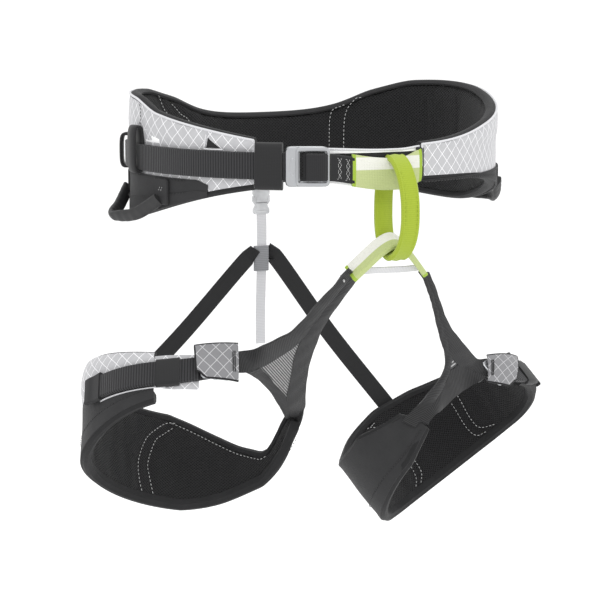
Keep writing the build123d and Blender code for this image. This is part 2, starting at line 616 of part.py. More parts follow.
def riser_parts(fit: LegFit) -> dict:
    """The forked riser from the lower tie-in to the leg loop, with its mesh window."""
    oval = fit.oval
    half = RISER_TOP_WIDTH / 2
    top = fit.local(arch_point(fit.side * ARCH_RADIUS, ARCH_RADIUS + RISER_START))
    outer = oval.point(fit.riser[0], -2.0) + UP * fit.web_lift
    inner = oval.point(fit.riser[1], -1.5)
    normal = (outer - top).cross(inner - top).normalized()
    along = (outer - inner).normalized()
    plane = Plane(origin=(outer + inner) / 2, x_dir=along, z_dir=normal)
    flat = [plane.to_local_coords(p) for p in (top, outer, inner)]
    (tx, ty), (ox, oy), (ix, iy) = [(p.X, p.Y) for p in flat]
    fork_x, fork_y = tx * RISER_FORK, ty * RISER_FORK
    arm = RISER_ARM if ty > 0 else -RISER_ARM
    wide, narrow = RISER_FLARE
    outline = Polyline(
        (tx - half, ty), (tx + half, ty), (fork_x + half + wide, fork_y + arm), (ox, oy + arm), (ox, oy - arm / 2),
        (0, -arm / 4), (ix, iy - arm / 2), (ix - wide, iy + arm / 2), (fork_x - half - narrow, fork_y + arm / 2),
        close=True)
    far, near = WINDOW_INSET
    hole = make_face(Polyline((fork_x, fork_y), (ox - far, oy + 0.55 * arm), (ix + near, iy + 0.5 * arm), close=True))
    frame = plane * extrude(make_face(outline) - hole, RISER_THICK / 2, both=True)
    window = plane * extrude(hole, RISER_THICK / 5, both=True)
    return {"riser": frame, "riser_mesh": window}


def strip(start: Vector, end: Vector, width: float, thick: float, face_normal: Vector) -> Part:
    """A straight strap between two points."""
    run = end - start
    at = Plane(origin=(start + end) / 2, x_dir=run.normalized(), z_dir=face_normal)
    return at * Box(run.length, width, thick)


def rear_point(fit: LegFit) -> Vector:
    """Where a rear elastic strap is sewn to the top of a leg pad."""
    spot = fit.oval.point(fit.elastic_at, -2.0) + UP * (LEG_TOP_REAR + REAR_ELASTIC_CLEAR)
    return fit.plane.from_local_coords(Vector(spot.X * fit.side, spot.Y, spot.Z))


REAR_Y = BELT_BACK_DEPTH + 2.5


def upright(width: float, thick: float, low: float, high: float, y: float = REAR_Y) -> Part:
    """A box on the rear riser's line between two heights."""
    return Pos(0, y, (low + high) / 2) * Box(width, thick, high - low)


def rear_parts() -> dict:
    """The releasable rear riser: tab, side-release buckle, strap and slider."""
    middle = REAR_BUCKLE_TOP - REAR_BUCKLE_HEIGHT / 2
    socket_low = middle + 1
    socket_high = REAR_BUCKLE_TOP - REAR_TAB_THICK
    plug_low = middle - REAR_BUCKLE_HEIGHT / 2 + 1
    plug_high = socket_low - REAR_GAP
    tab = upright(REAR_TAB_WIDTH, REAR_TAB_THICK, REAR_BUCKLE_TOP - 1, REAR_TAB_TOP, REAR_TAB_Y)
    socket = upright(REAR_BUCKLE_WIDTH, REAR_BUCKLE_THICK, socket_low, socket_high)
    socket -= upright(REAR_BUCKLE_WIDTH - 3, REAR_BUCKLE_THICK - 2 * PRONG_GAP, socket_low - 1, socket_low + PRONG_REACH)
    plug = upright(REAR_BUCKLE_WIDTH - 1, REAR_BUCKLE_THICK - REAR_GAP, plug_low, plug_high)
    for sign in (-1, 1):
        prong = upright(PRONG_WIDTH, PRONG_THICK, plug_high - 1, plug_high + PRONG_REACH - 1)
        plug += Pos(sign * PRONG_AT, 0) * prong
    strap = upright(REAR_STRAP_WIDTH, REAR_STRAP_THICK, REAR_STRAP_END, plug_low - 0.2)
    slider_low = REAR_SLIDER_TOP - REAR_SLIDER_HEIGHT
    slider = upright(REAR_STRAP_WIDTH + 4, REAR_STRAP_THICK + 3, slider_low, REAR_SLIDER_TOP)
    slider -= upright(REAR_STRAP_WIDTH + REAR_GAP, REAR_STRAP_THICK + REAR_GAP, slider_low - 1, REAR_SLIDER_TOP + 1)
    return {"rear_tab": tab, "rear_buckle_socket": socket, "rear_buckle_plug": plug, "rear_riser_strap": strap,
            "rear_slider": slider}


def elastic_parts() -> dict:
    """The two elastic rear straps, from the slider to each leg pad."""
    parts = {}
    slider_mid = REAR_SLIDER_TOP - REAR_SLIDER_HEIGHT / 2
    for fit in LEGS:
        start = Vector(fit.side * REAR_ELASTIC_START, REAR_Y, slider_mid)
        end = rear_point(fit)
        across = (end - start).cross(Vector(0, 1, 0)).normalized()
        face_normal = (end - start).cross(across).normalized()
        parts[f"rear_elastic_{fit.name}"] = strip(start, end, REAR_ELASTIC_WIDTH, REAR_ELASTIC_THICK, face_normal)
    return parts


def main() -> None:
    """Build every piece and write one STEP file for each."""
    parts = {**belt_parts(), **webbing_parts(), **buckle_parts(), **holder_parts(), **belay_parts(),
             **arch_parts(), **rear_parts(), **elastic_parts()}
    for fit in LEGS:
        pieces = {**pad_parts(fit), **strap_parts(fit), **riser_parts(fit)}
        for name, piece in pieces.items():
            parts[f"{fit.name}_{name}"] = fit.place(piece)
    os.makedirs("parts", exist_ok=True)
    for name, piece in parts.items():
        export_step(piece, f"parts/{name}.step")
    print(f"{len(parts)} nodes")


main()
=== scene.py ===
"""Climbing harness: fabric, webbing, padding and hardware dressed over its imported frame.

Lengths are in millimetres until a mesh is written, where MM turns them to metres. A strap or pad is
skinned over stations: places along a path, each with a direction across the strap and one out of it.
"""

import logging
import math
from dataclasses import dataclass, field
from enum import Enum
from typing import Callable, Iterable, Optional, Sequence

import bmesh
import bpy
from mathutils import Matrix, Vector


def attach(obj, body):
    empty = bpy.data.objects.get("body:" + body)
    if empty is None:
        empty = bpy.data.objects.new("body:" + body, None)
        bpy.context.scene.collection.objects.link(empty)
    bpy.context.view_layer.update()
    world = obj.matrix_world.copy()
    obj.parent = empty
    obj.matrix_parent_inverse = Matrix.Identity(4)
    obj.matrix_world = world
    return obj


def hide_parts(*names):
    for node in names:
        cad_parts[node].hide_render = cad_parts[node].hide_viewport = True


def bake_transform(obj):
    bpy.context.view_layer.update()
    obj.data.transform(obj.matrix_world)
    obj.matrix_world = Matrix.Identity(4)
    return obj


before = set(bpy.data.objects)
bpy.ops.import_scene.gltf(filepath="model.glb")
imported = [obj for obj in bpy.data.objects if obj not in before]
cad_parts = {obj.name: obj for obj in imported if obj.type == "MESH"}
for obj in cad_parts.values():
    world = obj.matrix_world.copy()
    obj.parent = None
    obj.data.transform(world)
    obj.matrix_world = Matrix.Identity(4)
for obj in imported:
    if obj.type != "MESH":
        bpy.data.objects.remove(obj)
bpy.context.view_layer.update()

log = logging.getLogger("harness")

MM = 0.001
UP = Vector((0, 0, 1))
UV_NAME = "surface"
Section = Callable[[int], list]
Point = tuple[float, float, float]


# ---- small tools -----------------------------------------------------------------------------
def linear(code: str, alpha: float = 1.0) -> tuple:
    """Turn an sRGB hex colour to linear values.

    Args:
        code: six hex digits.
        alpha: the fourth value.

    Returns:
        Linear red, green and blue, with alpha.
    """
    values = [int(code[i:i + 2], 16) / 255 for i in (0, 2, 4)]
    return (*(v / 12.92 if v <= 0.04045 else ((v + 0.055) / 1.055) ** 2.4 for v in values), alpha)


def add(tree: bpy.types.NodeTree, kind: str, settings: Optional[dict] = None,
        **inputs: object) -> bpy.types.Node:
    """Add one node with its settings, values and links.

    Args:
        tree: the node tree.
        kind: the node's type name.
        settings: the node's own properties.
        inputs: a value or a socket for each input, named in_0, in_1 and so on, or by its name with
            underscores for spaces.

    Returns:
        The new node.
    """
    node = tree.nodes.new(kind)
    for key, value in (settings or {}).items():
        setattr(node, key, value)
    for key, value in inputs.items():
        where = int(key[3:]) if key.startswith("in_") else key.replace("_", " ")
        socket = node.inputs[where]
        if isinstance(value, bpy.types.NodeSocket):
            tree.links.new(value, socket)
        else:
            socket.default_value = value
    return node


def calc(tree: bpy.types.NodeTree, operation: str, **inputs: object) -> bpy.types.Node:
    """Add one arithmetic node with its inputs in order."""
    return add(tree, "ShaderNodeMath", {"operation": operation}, **inputs)


def smooth(value: float) -> float:
    """Ease a share from 0 to 1 with flat ends."""
    share = min(1.0, max(0.0, value))
    return share * share * (3 - 2 * share)


def curve_through(points: Sequence[Vector], count: int, closed: bool = False) -> list[Vector]:
    """Sample a smooth curve through points.

    Args:
        points: the points that it passes.
        count: how many samples to return.
        closed: whether the curve comes back to its start.

    Returns:
        Samples, evenly spread over the spans by length.
    """
    total = len(points)
    get = (lambda i: points[i % total]) if closed else (lambda i: points[min(max(i, 0), total - 1)])
    spans = total if closed else total - 1
    fine = []
    for i in range(spans):
        a, b, c, d = get(i - 1), get(i), get(i + 1), get(i + 2)
        for k in range(16):
            t = k / 16
            fine.append(0.5 * ((2 * b) + (c - a) * t + (2 * a - 5 * b + 4 * c - d) * t * t
                               + (3 * b - a - 3 * c + d) * t ** 3))
    fine.append(get(spans).copy())
    lengths = [0.0]
    for a, b in zip(fine, fine[1:]):
        lengths.append(lengths[-1] + (b - a).length)
    samples, j = [], 0
    steps = count if closed else count - 1
    for k in range(count):
        want = lengths[-1] * k / steps
        while j < len(lengths) - 2 and lengths[j + 1] < want:
            j += 1
        span = max(lengths[j + 1] - lengths[j], 1e-9)
        samples.append(fine[j].lerp(fine[j + 1], (want - lengths[j]) / span))
    return samples


@dataclass(frozen=True)
class Line:
    """A smooth height line given by a few (position, height) points."""

    points: tuple

    def at(self, where: float) -> float:
        """The height at a position, with level ends."""
        pts = self.points
        if where <= pts[0][0]:
            return pts[0][1]
        if where >= pts[-1][0]:
            return pts[-1][1]
        i = next(k for k in range(len(pts) - 1) if where <= pts[k + 1][0])

        def slope(k: int) -> float:
            low, high = max(k - 1, 0), min(k + 1, len(pts) - 1)
            return (pts[high][1] - pts[low][1]) / (pts[high][0] - pts[low][0])

        (x0, y0), (x1, y1) = pts[i], pts[i + 1]
        span = x1 - x0
        t = (where - x0) / span
        return ((2 * t ** 3 - 3 * t * t + 1) * y0 + (t ** 3 - 2 * t * t + t) * span * slope(i)
                + (3 * t * t - 2 * t ** 3) * y1 + (t ** 3 - t * t) * span * slope(i + 1))


# ---- finishes --------------------------------------------------------------------------------
class Weave(Enum):
    """How a webbing's face is woven."""

    PLAIN = "plain"
    RIBBED = "ribbed"
    FINE = "fine"


@dataclass(frozen=True)
class Finish:
    """A named procedural finish read from the piece's own surface map, in metres."""

    name: str
    colour: str

    def start(self) -> tuple:
        """Make the material and its shader.

        Returns:
            The material, its tree, its shader node and the two surface coordinates in millimetres.
        """
        material = bpy.data.materials.new(self.name)
        material.use_nodes = True
        tree = material.node_tree
        tree.nodes.clear()
        shader = add(tree, "ShaderNodeBsdfPrincipled", Base_Color=linear(self.colour),
                     Roughness=0.8)
        out = add(tree, "ShaderNodeOutputMaterial", Surface=shader.outputs[0])
        out.location = (300, 0)
        uv = add(tree, "ShaderNodeUVMap", {"uv_map": UV_NAME})
        size = add(tree, "ShaderNodeVectorMath", {"operation": "SCALE"}, in_0=uv.outputs[0],
                   Scale=1000.0)
        parts = add(tree, "ShaderNodeSeparateXYZ", in_0=size.outputs[0])
        return material, tree, shader, parts.outputs[0], parts.outputs[1], size.outputs[0]

    @staticmethod
    def wave(tree: bpy.types.NodeTree, value: bpy.types.NodeSocket, pitch: float,
             shift: float = 0.0) -> bpy.types.NodeSocket:
        """A 0 to 1 wave along a coordinate, one cycle for each pitch in millimetres."""
        turn = calc(tree, "MULTIPLY_ADD", in_0=value, in_1=2 * math.pi / pitch, in_2=shift)
        sine = calc(tree, "SINE", in_0=turn.outputs[0])
        return calc(tree, "MULTIPLY_ADD", in_0=sine.outputs[0], in_1=0.5, in_2=0.5).outputs[0]

    @staticmethod
    def grain(tree: bpy.types.NodeTree, place: bpy.types.NodeSocket, size: float,
              detail: float = 3.0) -> bpy.types.NodeSocket:
        """Soft noise with features of a size in millimetres."""
        return add(tree, "ShaderNodeTexNoise", Vector=place, Scale=1 / size, Detail=detail,
                   Roughness=0.6).outputs[0]

    @staticmethod
    def tint(tree: bpy.types.NodeTree, shader: bpy.types.Node, share: bpy.types.NodeSocket,
             low: str, high: str, start: float = 0.0, end: float = 1.0) -> bpy.types.Node:
        """Drive the base colour between two colours by a 0 to 1 value."""
        ramp = add(tree, "ShaderNodeValToRGB", in_0=share)
        ramp.color_ramp.elements[0].position, ramp.color_ramp.elements[1].position = start, end
        for element, code in zip(ramp.color_ramp.elements, (low, high)):
            element.color = linear(code)
        tree.links.new(ramp.outputs[0], shader.inputs["Base Color"])
        return ramp

    @staticmethod
    def relief(tree: bpy.types.NodeTree, shader: bpy.types.Node, height: bpy.types.NodeSocket,
               depth: float, strength: float = 1.0,
               under: Optional[bpy.types.NodeSocket] = None) -> bpy.types.Node:
        """Bump from a 0 to 1 height, with its depth in millimetres."""
        bump = add(tree, "ShaderNodeBump", Height=height, Distance=depth * MM, Strength=strength)
        if under is not None:
            tree.links.new(under, bump.inputs["Normal"])
        tree.links.new(bump.outputs[0], shader.inputs["Normal"])
        return bump


@dataclass(frozen=True)
class Ripstop(Finish):
    """Coated ripstop nylon: a light plain weave under a raised diamond grid of threads."""

    line: str = "EFEFF1"
    shade: str = "B4B5B8"
    cell: float = 10.6
    line_width: float = 0.4

    def make(self) -> bpy.types.Material:
        """Build the material."""
        material, tree, shader, u, v, place = self.start()
        wobble = self.grain(tree, place, 26.0, 2.0)
        lines = []
        for sign in (0.92, -0.92):
            diag = calc(tree, "MULTIPLY_ADD", in_0=v, in_1=sign, in_2=u)
            bent = calc(tree, "MULTIPLY_ADD", in_0=wobble, in_1=2.2, in_2=diag.outputs[0])
            cells = calc(tree, "PINGPONG", in_0=bent.outputs[0], in_1=self.cell / 2)
            near = add(tree, "ShaderNodeMapRange", {"interpolation_type": "SMOOTHSTEP"},
                       Value=cells.outputs[0], From_Min=self.line_width * 0.4,
                       From_Max=self.line_width * 1.25, To_Min=1.0, To_Max=0.0)
            lines.append(near.outputs[0])
        grid = calc(tree, "MAXIMUM", in_0=lines[0], in_1=lines[1])
        weave_u, weave_v = self.wave(tree, u, 0.9), self.wave(tree, v, 0.9)
        weave = calc(tree, "MULTIPLY", in_0=weave_u, in_1=weave_v)
        patch = self.grain(tree, place, 9.0, 4.0)
        base = add(tree, "ShaderNodeMix", {"data_type": "RGBA"}, Factor=patch)
        base.inputs[6].default_value = linear(self.shade)
        base.inputs[7].default_value = linear(self.colour)
        mix = add(tree, "ShaderNodeMix", {"data_type": "RGBA"}, Factor=grid.outputs[0],
                  in_6=base.outputs[2])
        mix.inputs[7].default_value = linear(self.line)
        tree.links.new(mix.outputs[2], shader.inputs["Base Color"])
        shader.inputs["Roughness"].default_value = 0.55
        shader.inputs["Sheen Weight"].default_value = 0.15
        soft = calc(tree, "MULTIPLY_ADD", in_0=weave.outputs[0], in_1=0.25, in_2=grid.outputs[0])
        crumple = self.relief(tree, shader, self.grain(tree, place, 14.0, 3.0), 1.3, 0.6)
        self.relief(tree, shader, soft.outputs[0], 0.25, 0.7, crumple.outputs[0])
        return material


@dataclass(frozen=True)
class SpacerMesh(Finish):
    """Knitted polyester spacer mesh: a black field of small oval holes over a darker ground."""

    hole: str = "060606"
    pitch: float = 2.3

    def make(self) -> bpy.types.Material:
        """Build the material."""
        material, tree, shader, u, v, place = self.start()
        fine = calc(tree, "MULTIPLY", in_0=v, in_1=1.25)
        plus = calc(tree, "ADD", in_0=u, in_1=fine.outputs[0])
        less = calc(tree, "SUBTRACT", in_0=u, in_1=fine.outputs[0])
        holes = calc(tree, "MULTIPLY", in_0=self.wave(tree, plus.outputs[0], self.pitch * 1.4),
                    in_1=self.wave(tree, less.outputs[0], self.pitch * 1.4))
        fuzz = self.grain(tree, place, 0.8, 4.0)
        level = calc(tree, "MULTIPLY_ADD", in_0=fuzz, in_1=0.35, in_2=holes.outputs[0])
        self.tint(tree, shader, level.outputs[0], self.colour, self.hole, 0.32, 0.85)
        shader.inputs["Roughness"].default_value = 0.9
        shader.inputs["Sheen Weight"].default_value = 0.08
        shader.inputs["Specular IOR Level"].default_value = 0.2
        inverse = calc(tree, "SUBTRACT", in_0=1.0, in_1=level.outputs[0])
        self.relief(tree, shader, inverse.outputs[0], 0.9, 0.8)
        return material


@dataclass(frozen=True)
class SoftShell(Finish):
    """Smooth stretch-woven polyamide: an even dark face with a faint grain and soft sheen."""

    low: str = "2A2A2B"
    sheen: float = 0.06
    grain_size: float = 0.7

    def make(self) -> bpy.types.Material:
        """Build the material."""
        material, tree, shader, u, v, place = self.start()
        patch = self.grain(tree, place, 18.0, 3.0)
        self.tint(tree, shader, patch, self.low, self.colour, 0.2, 0.8)
        shader.inputs["Roughness"].default_value = 0.72
        shader.inputs["Sheen Weight"].default_value = self.sheen
        shader.inputs["Specular IOR Level"].default_value = 0.2
        shader.inputs["Sheen Roughness"].default_value = 0.4
        ribs = self.wave(tree, u, self.grain_size)
        rows = self.wave(tree, v, self.grain_size)
        knit = calc(tree, "MULTIPLY", in_0=ribs, in_1=rows)
        creases = self.relief(tree, shader, self.grain(tree, place, 22.0, 2.0), 1.2, 0.5)
        self.relief(tree, shader, knit.outputs[0], 0.12, 0.6, creases.outputs[0])
        return material


@dataclass(frozen=True)
class Webbing(Finish):
    """Woven polyester webbing: cross ribs from the weft, with lighter thread tops."""

    low: str = "1D1D1E"
    weave: Weave = Weave.RIBBED
    pitch: float = 2.2
    depth: float = 0.5
    edge: float = 0.0
    edge_colour: str = "EDEDED"

    def make(self) -> bpy.types.Material:
        """Build the material."""
        material, tree, shader, u, v, place = self.start()
        ribs = self.wave(tree, u, self.pitch)
        threads = self.wave(tree, v, 1.1)
        fuzz = self.grain(tree, place, 0.9, 3.0)
        share = {Weave.RIBBED: 0.9, Weave.PLAIN: 0.35, Weave.FINE: 0.2}[self.weave]
        scaled = calc(tree, "MULTIPLY", in_0=ribs, in_1=share)
        crossed = calc(tree, "MULTIPLY_ADD", in_0=threads, in_1=0.18, in_2=scaled.outputs[0])
        level = calc(tree, "MULTIPLY_ADD", in_0=fuzz, in_1=0.3, in_2=crossed.outputs[0])
        ramp = self.tint(tree, shader, level.outputs[0], self.low, self.colour, 0.15, 1.1)
        if self.edge > 0:
            side = calc(tree, "ABSOLUTE", in_0=v)
            line = calc(tree, "GREATER_THAN", in_0=side.outputs[0], in_1=self.edge)
            mix = add(tree, "ShaderNodeMix", {"data_type": "RGBA"}, Factor=line.outputs[0],
                      in_6=ramp.outputs[0])
            mix.inputs[7].default_value = linear(self.edge_colour)
            tree.links.new(mix.outputs[2], shader.inputs["Base Color"])
        shader.inputs["Roughness"].default_value = 0.62
        shader.inputs["Sheen Weight"].default_value = 0.12
        shader.inputs["Specular IOR Level"].default_value = 0.2
        self.relief(tree, shader, level.outputs[0], self.depth, 0.8)
        return material


@dataclass(frozen=True)
class StripedSleeve(Finish):
    """Woven nylon tube over the tie-in points: white between pale green, green end bars."""

    middle: str = "DCDCD4"
    bar: str = "94B02E"
    half_middle: float = 4.9
    length: float = 60.0
    bar_length: float = 2.6
    tilt: float = 0.0

    def make(self) -> bpy.types.Material:
        """Build the material."""
        material, tree, shader, u, v, place = self.start()
        moved = calc(tree, "SUBTRACT", in_0=v, in_1=self.tilt)
        side = calc(tree, "ABSOLUTE", in_0=moved.outputs[0])
        stripe = add(tree, "ShaderNodeMapRange", Value=side.outputs[0],
                     From_Min=self.half_middle - 0.3, From_Max=self.half_middle + 0.3)
        body = add(tree, "ShaderNodeMix", {"data_type": "RGBA"}, Factor=stripe.outputs[0])
        body.inputs[6].default_value = linear(self.middle)
        body.inputs[7].default_value = linear(self.colour)
        centred = calc(tree, "SUBTRACT", in_0=u, in_1=self.length / 2)
        far = calc(tree, "ABSOLUTE", in_0=centred.outputs[0])
        bars = calc(tree, "GREATER_THAN", in_0=far.outputs[0],
                    in_1=self.length / 2 - self.bar_length)
        mix = add(tree, "ShaderNodeMix", {"data_type": "RGBA"}, Factor=bars.outputs[0],
                  in_6=body.outputs[2])
        mix.inputs[7].default_value = linear(self.bar)
        fuzz = self.grain(tree, place, 1.2, 3.0)
        worn = add(tree, "ShaderNodeMix", {"data_type": "RGBA", "blend_type": "MULTIPLY"},
                   Factor=0.35, in_6=mix.outputs[2])
        grey = add(tree, "ShaderNodeValToRGB", in_0=fuzz)
        for element, code in zip(grey.color_ramp.elements, ("C4C4BE", "FFFFFF")):
            element.color = linear(code)
        tree.links.new(grey.outputs[0], worn.inputs[7])
        tree.links.new(worn.outputs[2], shader.inputs["Base Color"])
        shader.inputs["Roughness"].default_value = 0.75
        shader.inputs["Sheen Weight"].default_value = 0.2
        weave = calc(tree, "MULTIPLY", in_0=self.wave(tree, u, 1.3), in_1=self.wave(tree, v, 1.3))
        self.relief(tree, shader, weave.outputs[0], 0.25, 0.7)
        return material


@dataclass(frozen=True)
class Alloy(Finish):
    """Forged and tumbled aluminium alloy: satin, with faint brushing and a light clear anodise."""

    def make(self) -> bpy.types.Material:
        """Build the material."""
        material, tree, shader, u, v, place = self.start()
        coord = add(tree, "ShaderNodeTexCoord")
        mapping = add(tree, "ShaderNodeMapping", Vector=coord.outputs["Object"],
                      Scale=(400.0, 400.0, 4000.0))
        brush = add(tree, "ShaderNodeTexNoise", Vector=mapping.outputs[0], Scale=1.0, Detail=3.0)
        self.tint(tree, shader, brush.outputs[0], "A9ABAE", self.colour, 0.3, 0.7)
        rough = add(tree, "ShaderNodeMapRange", Value=brush.outputs[0], To_Min=0.28, To_Max=0.42)
        tree.links.new(rough.outputs[0], shader.inputs["Roughness"])
        shader.inputs["Metallic"].default_value = 0.9
        self.relief(tree, shader, brush.outputs[0], 0.04, 0.5)
        return material


@dataclass(frozen=True)
class Moulded(Finish):
    """Injection-moulded acetal: an even pale body with a fine spark-eroded grain and soft gloss."""

    rough: float = 0.4

    def make(self) -> bpy.types.Material:
        """Build the material."""
        material, tree, shader, u, v, place = self.start()
        coord = add(tree, "ShaderNodeTexCoord")
        fine = add(tree, "ShaderNodeTexNoise", Vector=coord.outputs["Object"], Scale=1600.0,
                   Detail=3.0)
        patch = add(tree, "ShaderNodeTexNoise", Vector=coord.outputs["Object"], Scale=120.0,
                    Detail=2.0)
        low = "".join(f"{int(int(self.colour[i:i + 2], 16) * 0.88):02X}" for i in (0, 2, 4))
        self.tint(tree, shader, patch.outputs[0], low, self.colour, 0.3, 0.7)
        shader.inputs["Roughness"].default_value = self.rough
        self.relief(tree, shader, fine.outputs[0], 0.05, 0.5)
        return material


@dataclass(frozen=True)
class Thread(Finish):
    """Bonded nylon sewing thread: twisted, slightly shiny."""

    def make(self) -> bpy.types.Material:
        """Build the material."""
        material, tree, shader, u, v, place = self.start()
        coord = add(tree, "ShaderNodeTexCoord")
        twist = add(tree, "ShaderNodeTexNoise", Vector=coord.outputs["Object"], Scale=900.0,
                    Detail=2.0)
        low = "".join(f"{int(int(self.colour[i:i + 2], 16) * 0.8):02X}" for i in (0, 2, 4))
        self.tint(tree, shader, twist.outputs[0], low, self.colour, 0.3, 0.7)
        shader.inputs["Roughness"].default_value = 0.5
        return material


def made_by(kind: Callable, *values: str, **settings: object) -> bpy.types.Material:
    """A palette entry: the material that a finish makes when the palette is filled."""
    return field(default_factory=lambda: kind(*values, **settings).make())


@dataclass(frozen=True)
class Palette:
    """Every finish of the harness, built once."""

    shell: bpy.types.Material = made_by(Ripstop, "ripstop_nylon_light", "B7B7B9", shade="A2A2A5")
    flap: bpy.types.Material = made_by(Ripstop, "ripstop_nylon_grey", "7B7B7D", shade="707073",
                                       line="BEBEC0")
    lining: bpy.types.Material = made_by(SpacerMesh, "spacer_mesh_black", "222223")
    softshell: bpy.types.Material = made_by(SoftShell, "stretch_softshell", "303031", low="29292A")
    rim: bpy.types.Material = made_by(SoftShell, "softshell_binding", "262627", low="1E1E1F")
    ribbed: bpy.types.Material = made_by(Webbing, "ribbed_polyester_webbing", "333335",
                                         low="0F0F10")
    plain: bpy.types.Material = made_by(Webbing, "plain_polyester_webbing", "2C2C2E", low="1E1E1F",
                                        weave=Weave.PLAIN, pitch=1.5, depth=0.2)
    edged: bpy.types.Material = made_by(Webbing, "white_edged_webbing", "262628", low="19191A",
                                        weave=Weave.PLAIN, pitch=1.5, depth=0.2, edge=9.7)
    elastic: bpy.types.Material = made_by(Webbing, "woven_elastic_black", "2C2C2D", low="1F1F20",
                                          weave=Weave.FINE, pitch=1.2, depth=0.15)
    green: bpy.types.Material = made_by(Webbing, "green_polyamide_webbing", "ABBD3C", low="8D9F2A",
                                        weave=Weave.FINE, pitch=1.6, depth=0.25)
    slider: bpy.types.Material = made_by(Webbing, "woven_slider_grey", "9A9B9E", low="77787B",
                                         weave=Weave.PLAIN, pitch=1.6, depth=0.2)
    white: bpy.types.Material = made_by(Webbing, "white_polyester_webbing", "DEDEE0", low="BDBDC0",
                                        weave=Weave.PLAIN, pitch=1.4, depth=0.15)
    riser: bpy.types.Material = made_by(Webbing, "striped_riser_laminate", "323233", low="0E0E0F",
                                        weave=Weave.RIBBED, pitch=1.5, depth=0.25)
    alloy: bpy.types.Material = made_by(Alloy, "forged_aluminium_alloy", "ABACAE")
    plastic: bpy.types.Material = made_by(Moulded, "acetal_pale_grey", "CBCCCE")
    cover: bpy.types.Material = made_by(Moulded, "thermoplastic_rubber_black", "252526", rough=0.6)
    white_thread: bpy.types.Material = made_by(Thread, "bonded_thread_white", "BEBEBE")
    dark_thread: bpy.types.Material = made_by(Thread, "bonded_thread_black", "1A1A1B")
    mesh_thread: bpy.types.Material = made_by(Thread, "mesh_thread_grey", "4A4A4C")
    label: bpy.types.Material = made_by(SoftShell, "satin_label_tape", "F7F7F7", low="EDEDED",
                                        sheen=0.1)


# ---- meshing ---------------------------------------------------------------------------------
def full_turn(count: int) -> list[float]:
    """Evenly spaced angles round a circle, in radians."""
    return [2 * math.pi * k / count for k in range(count)]


def bulge(value: float, power: float) -> float:
    """A sine or cosine pushed outwards, so that an oval gets fuller corners."""
    return math.copysign(abs(value) ** power, value)


@dataclass(frozen=True)
class Station:
    """A place along a path, in millimetres."""

    origin: Vector
    across: Vector
    out: Vector
    s: float
    turn: float = 0.0

    @property
    def along(self) -> Vector:
        """The direction along the path, square to the other two."""
        return self.across.cross(self.out)


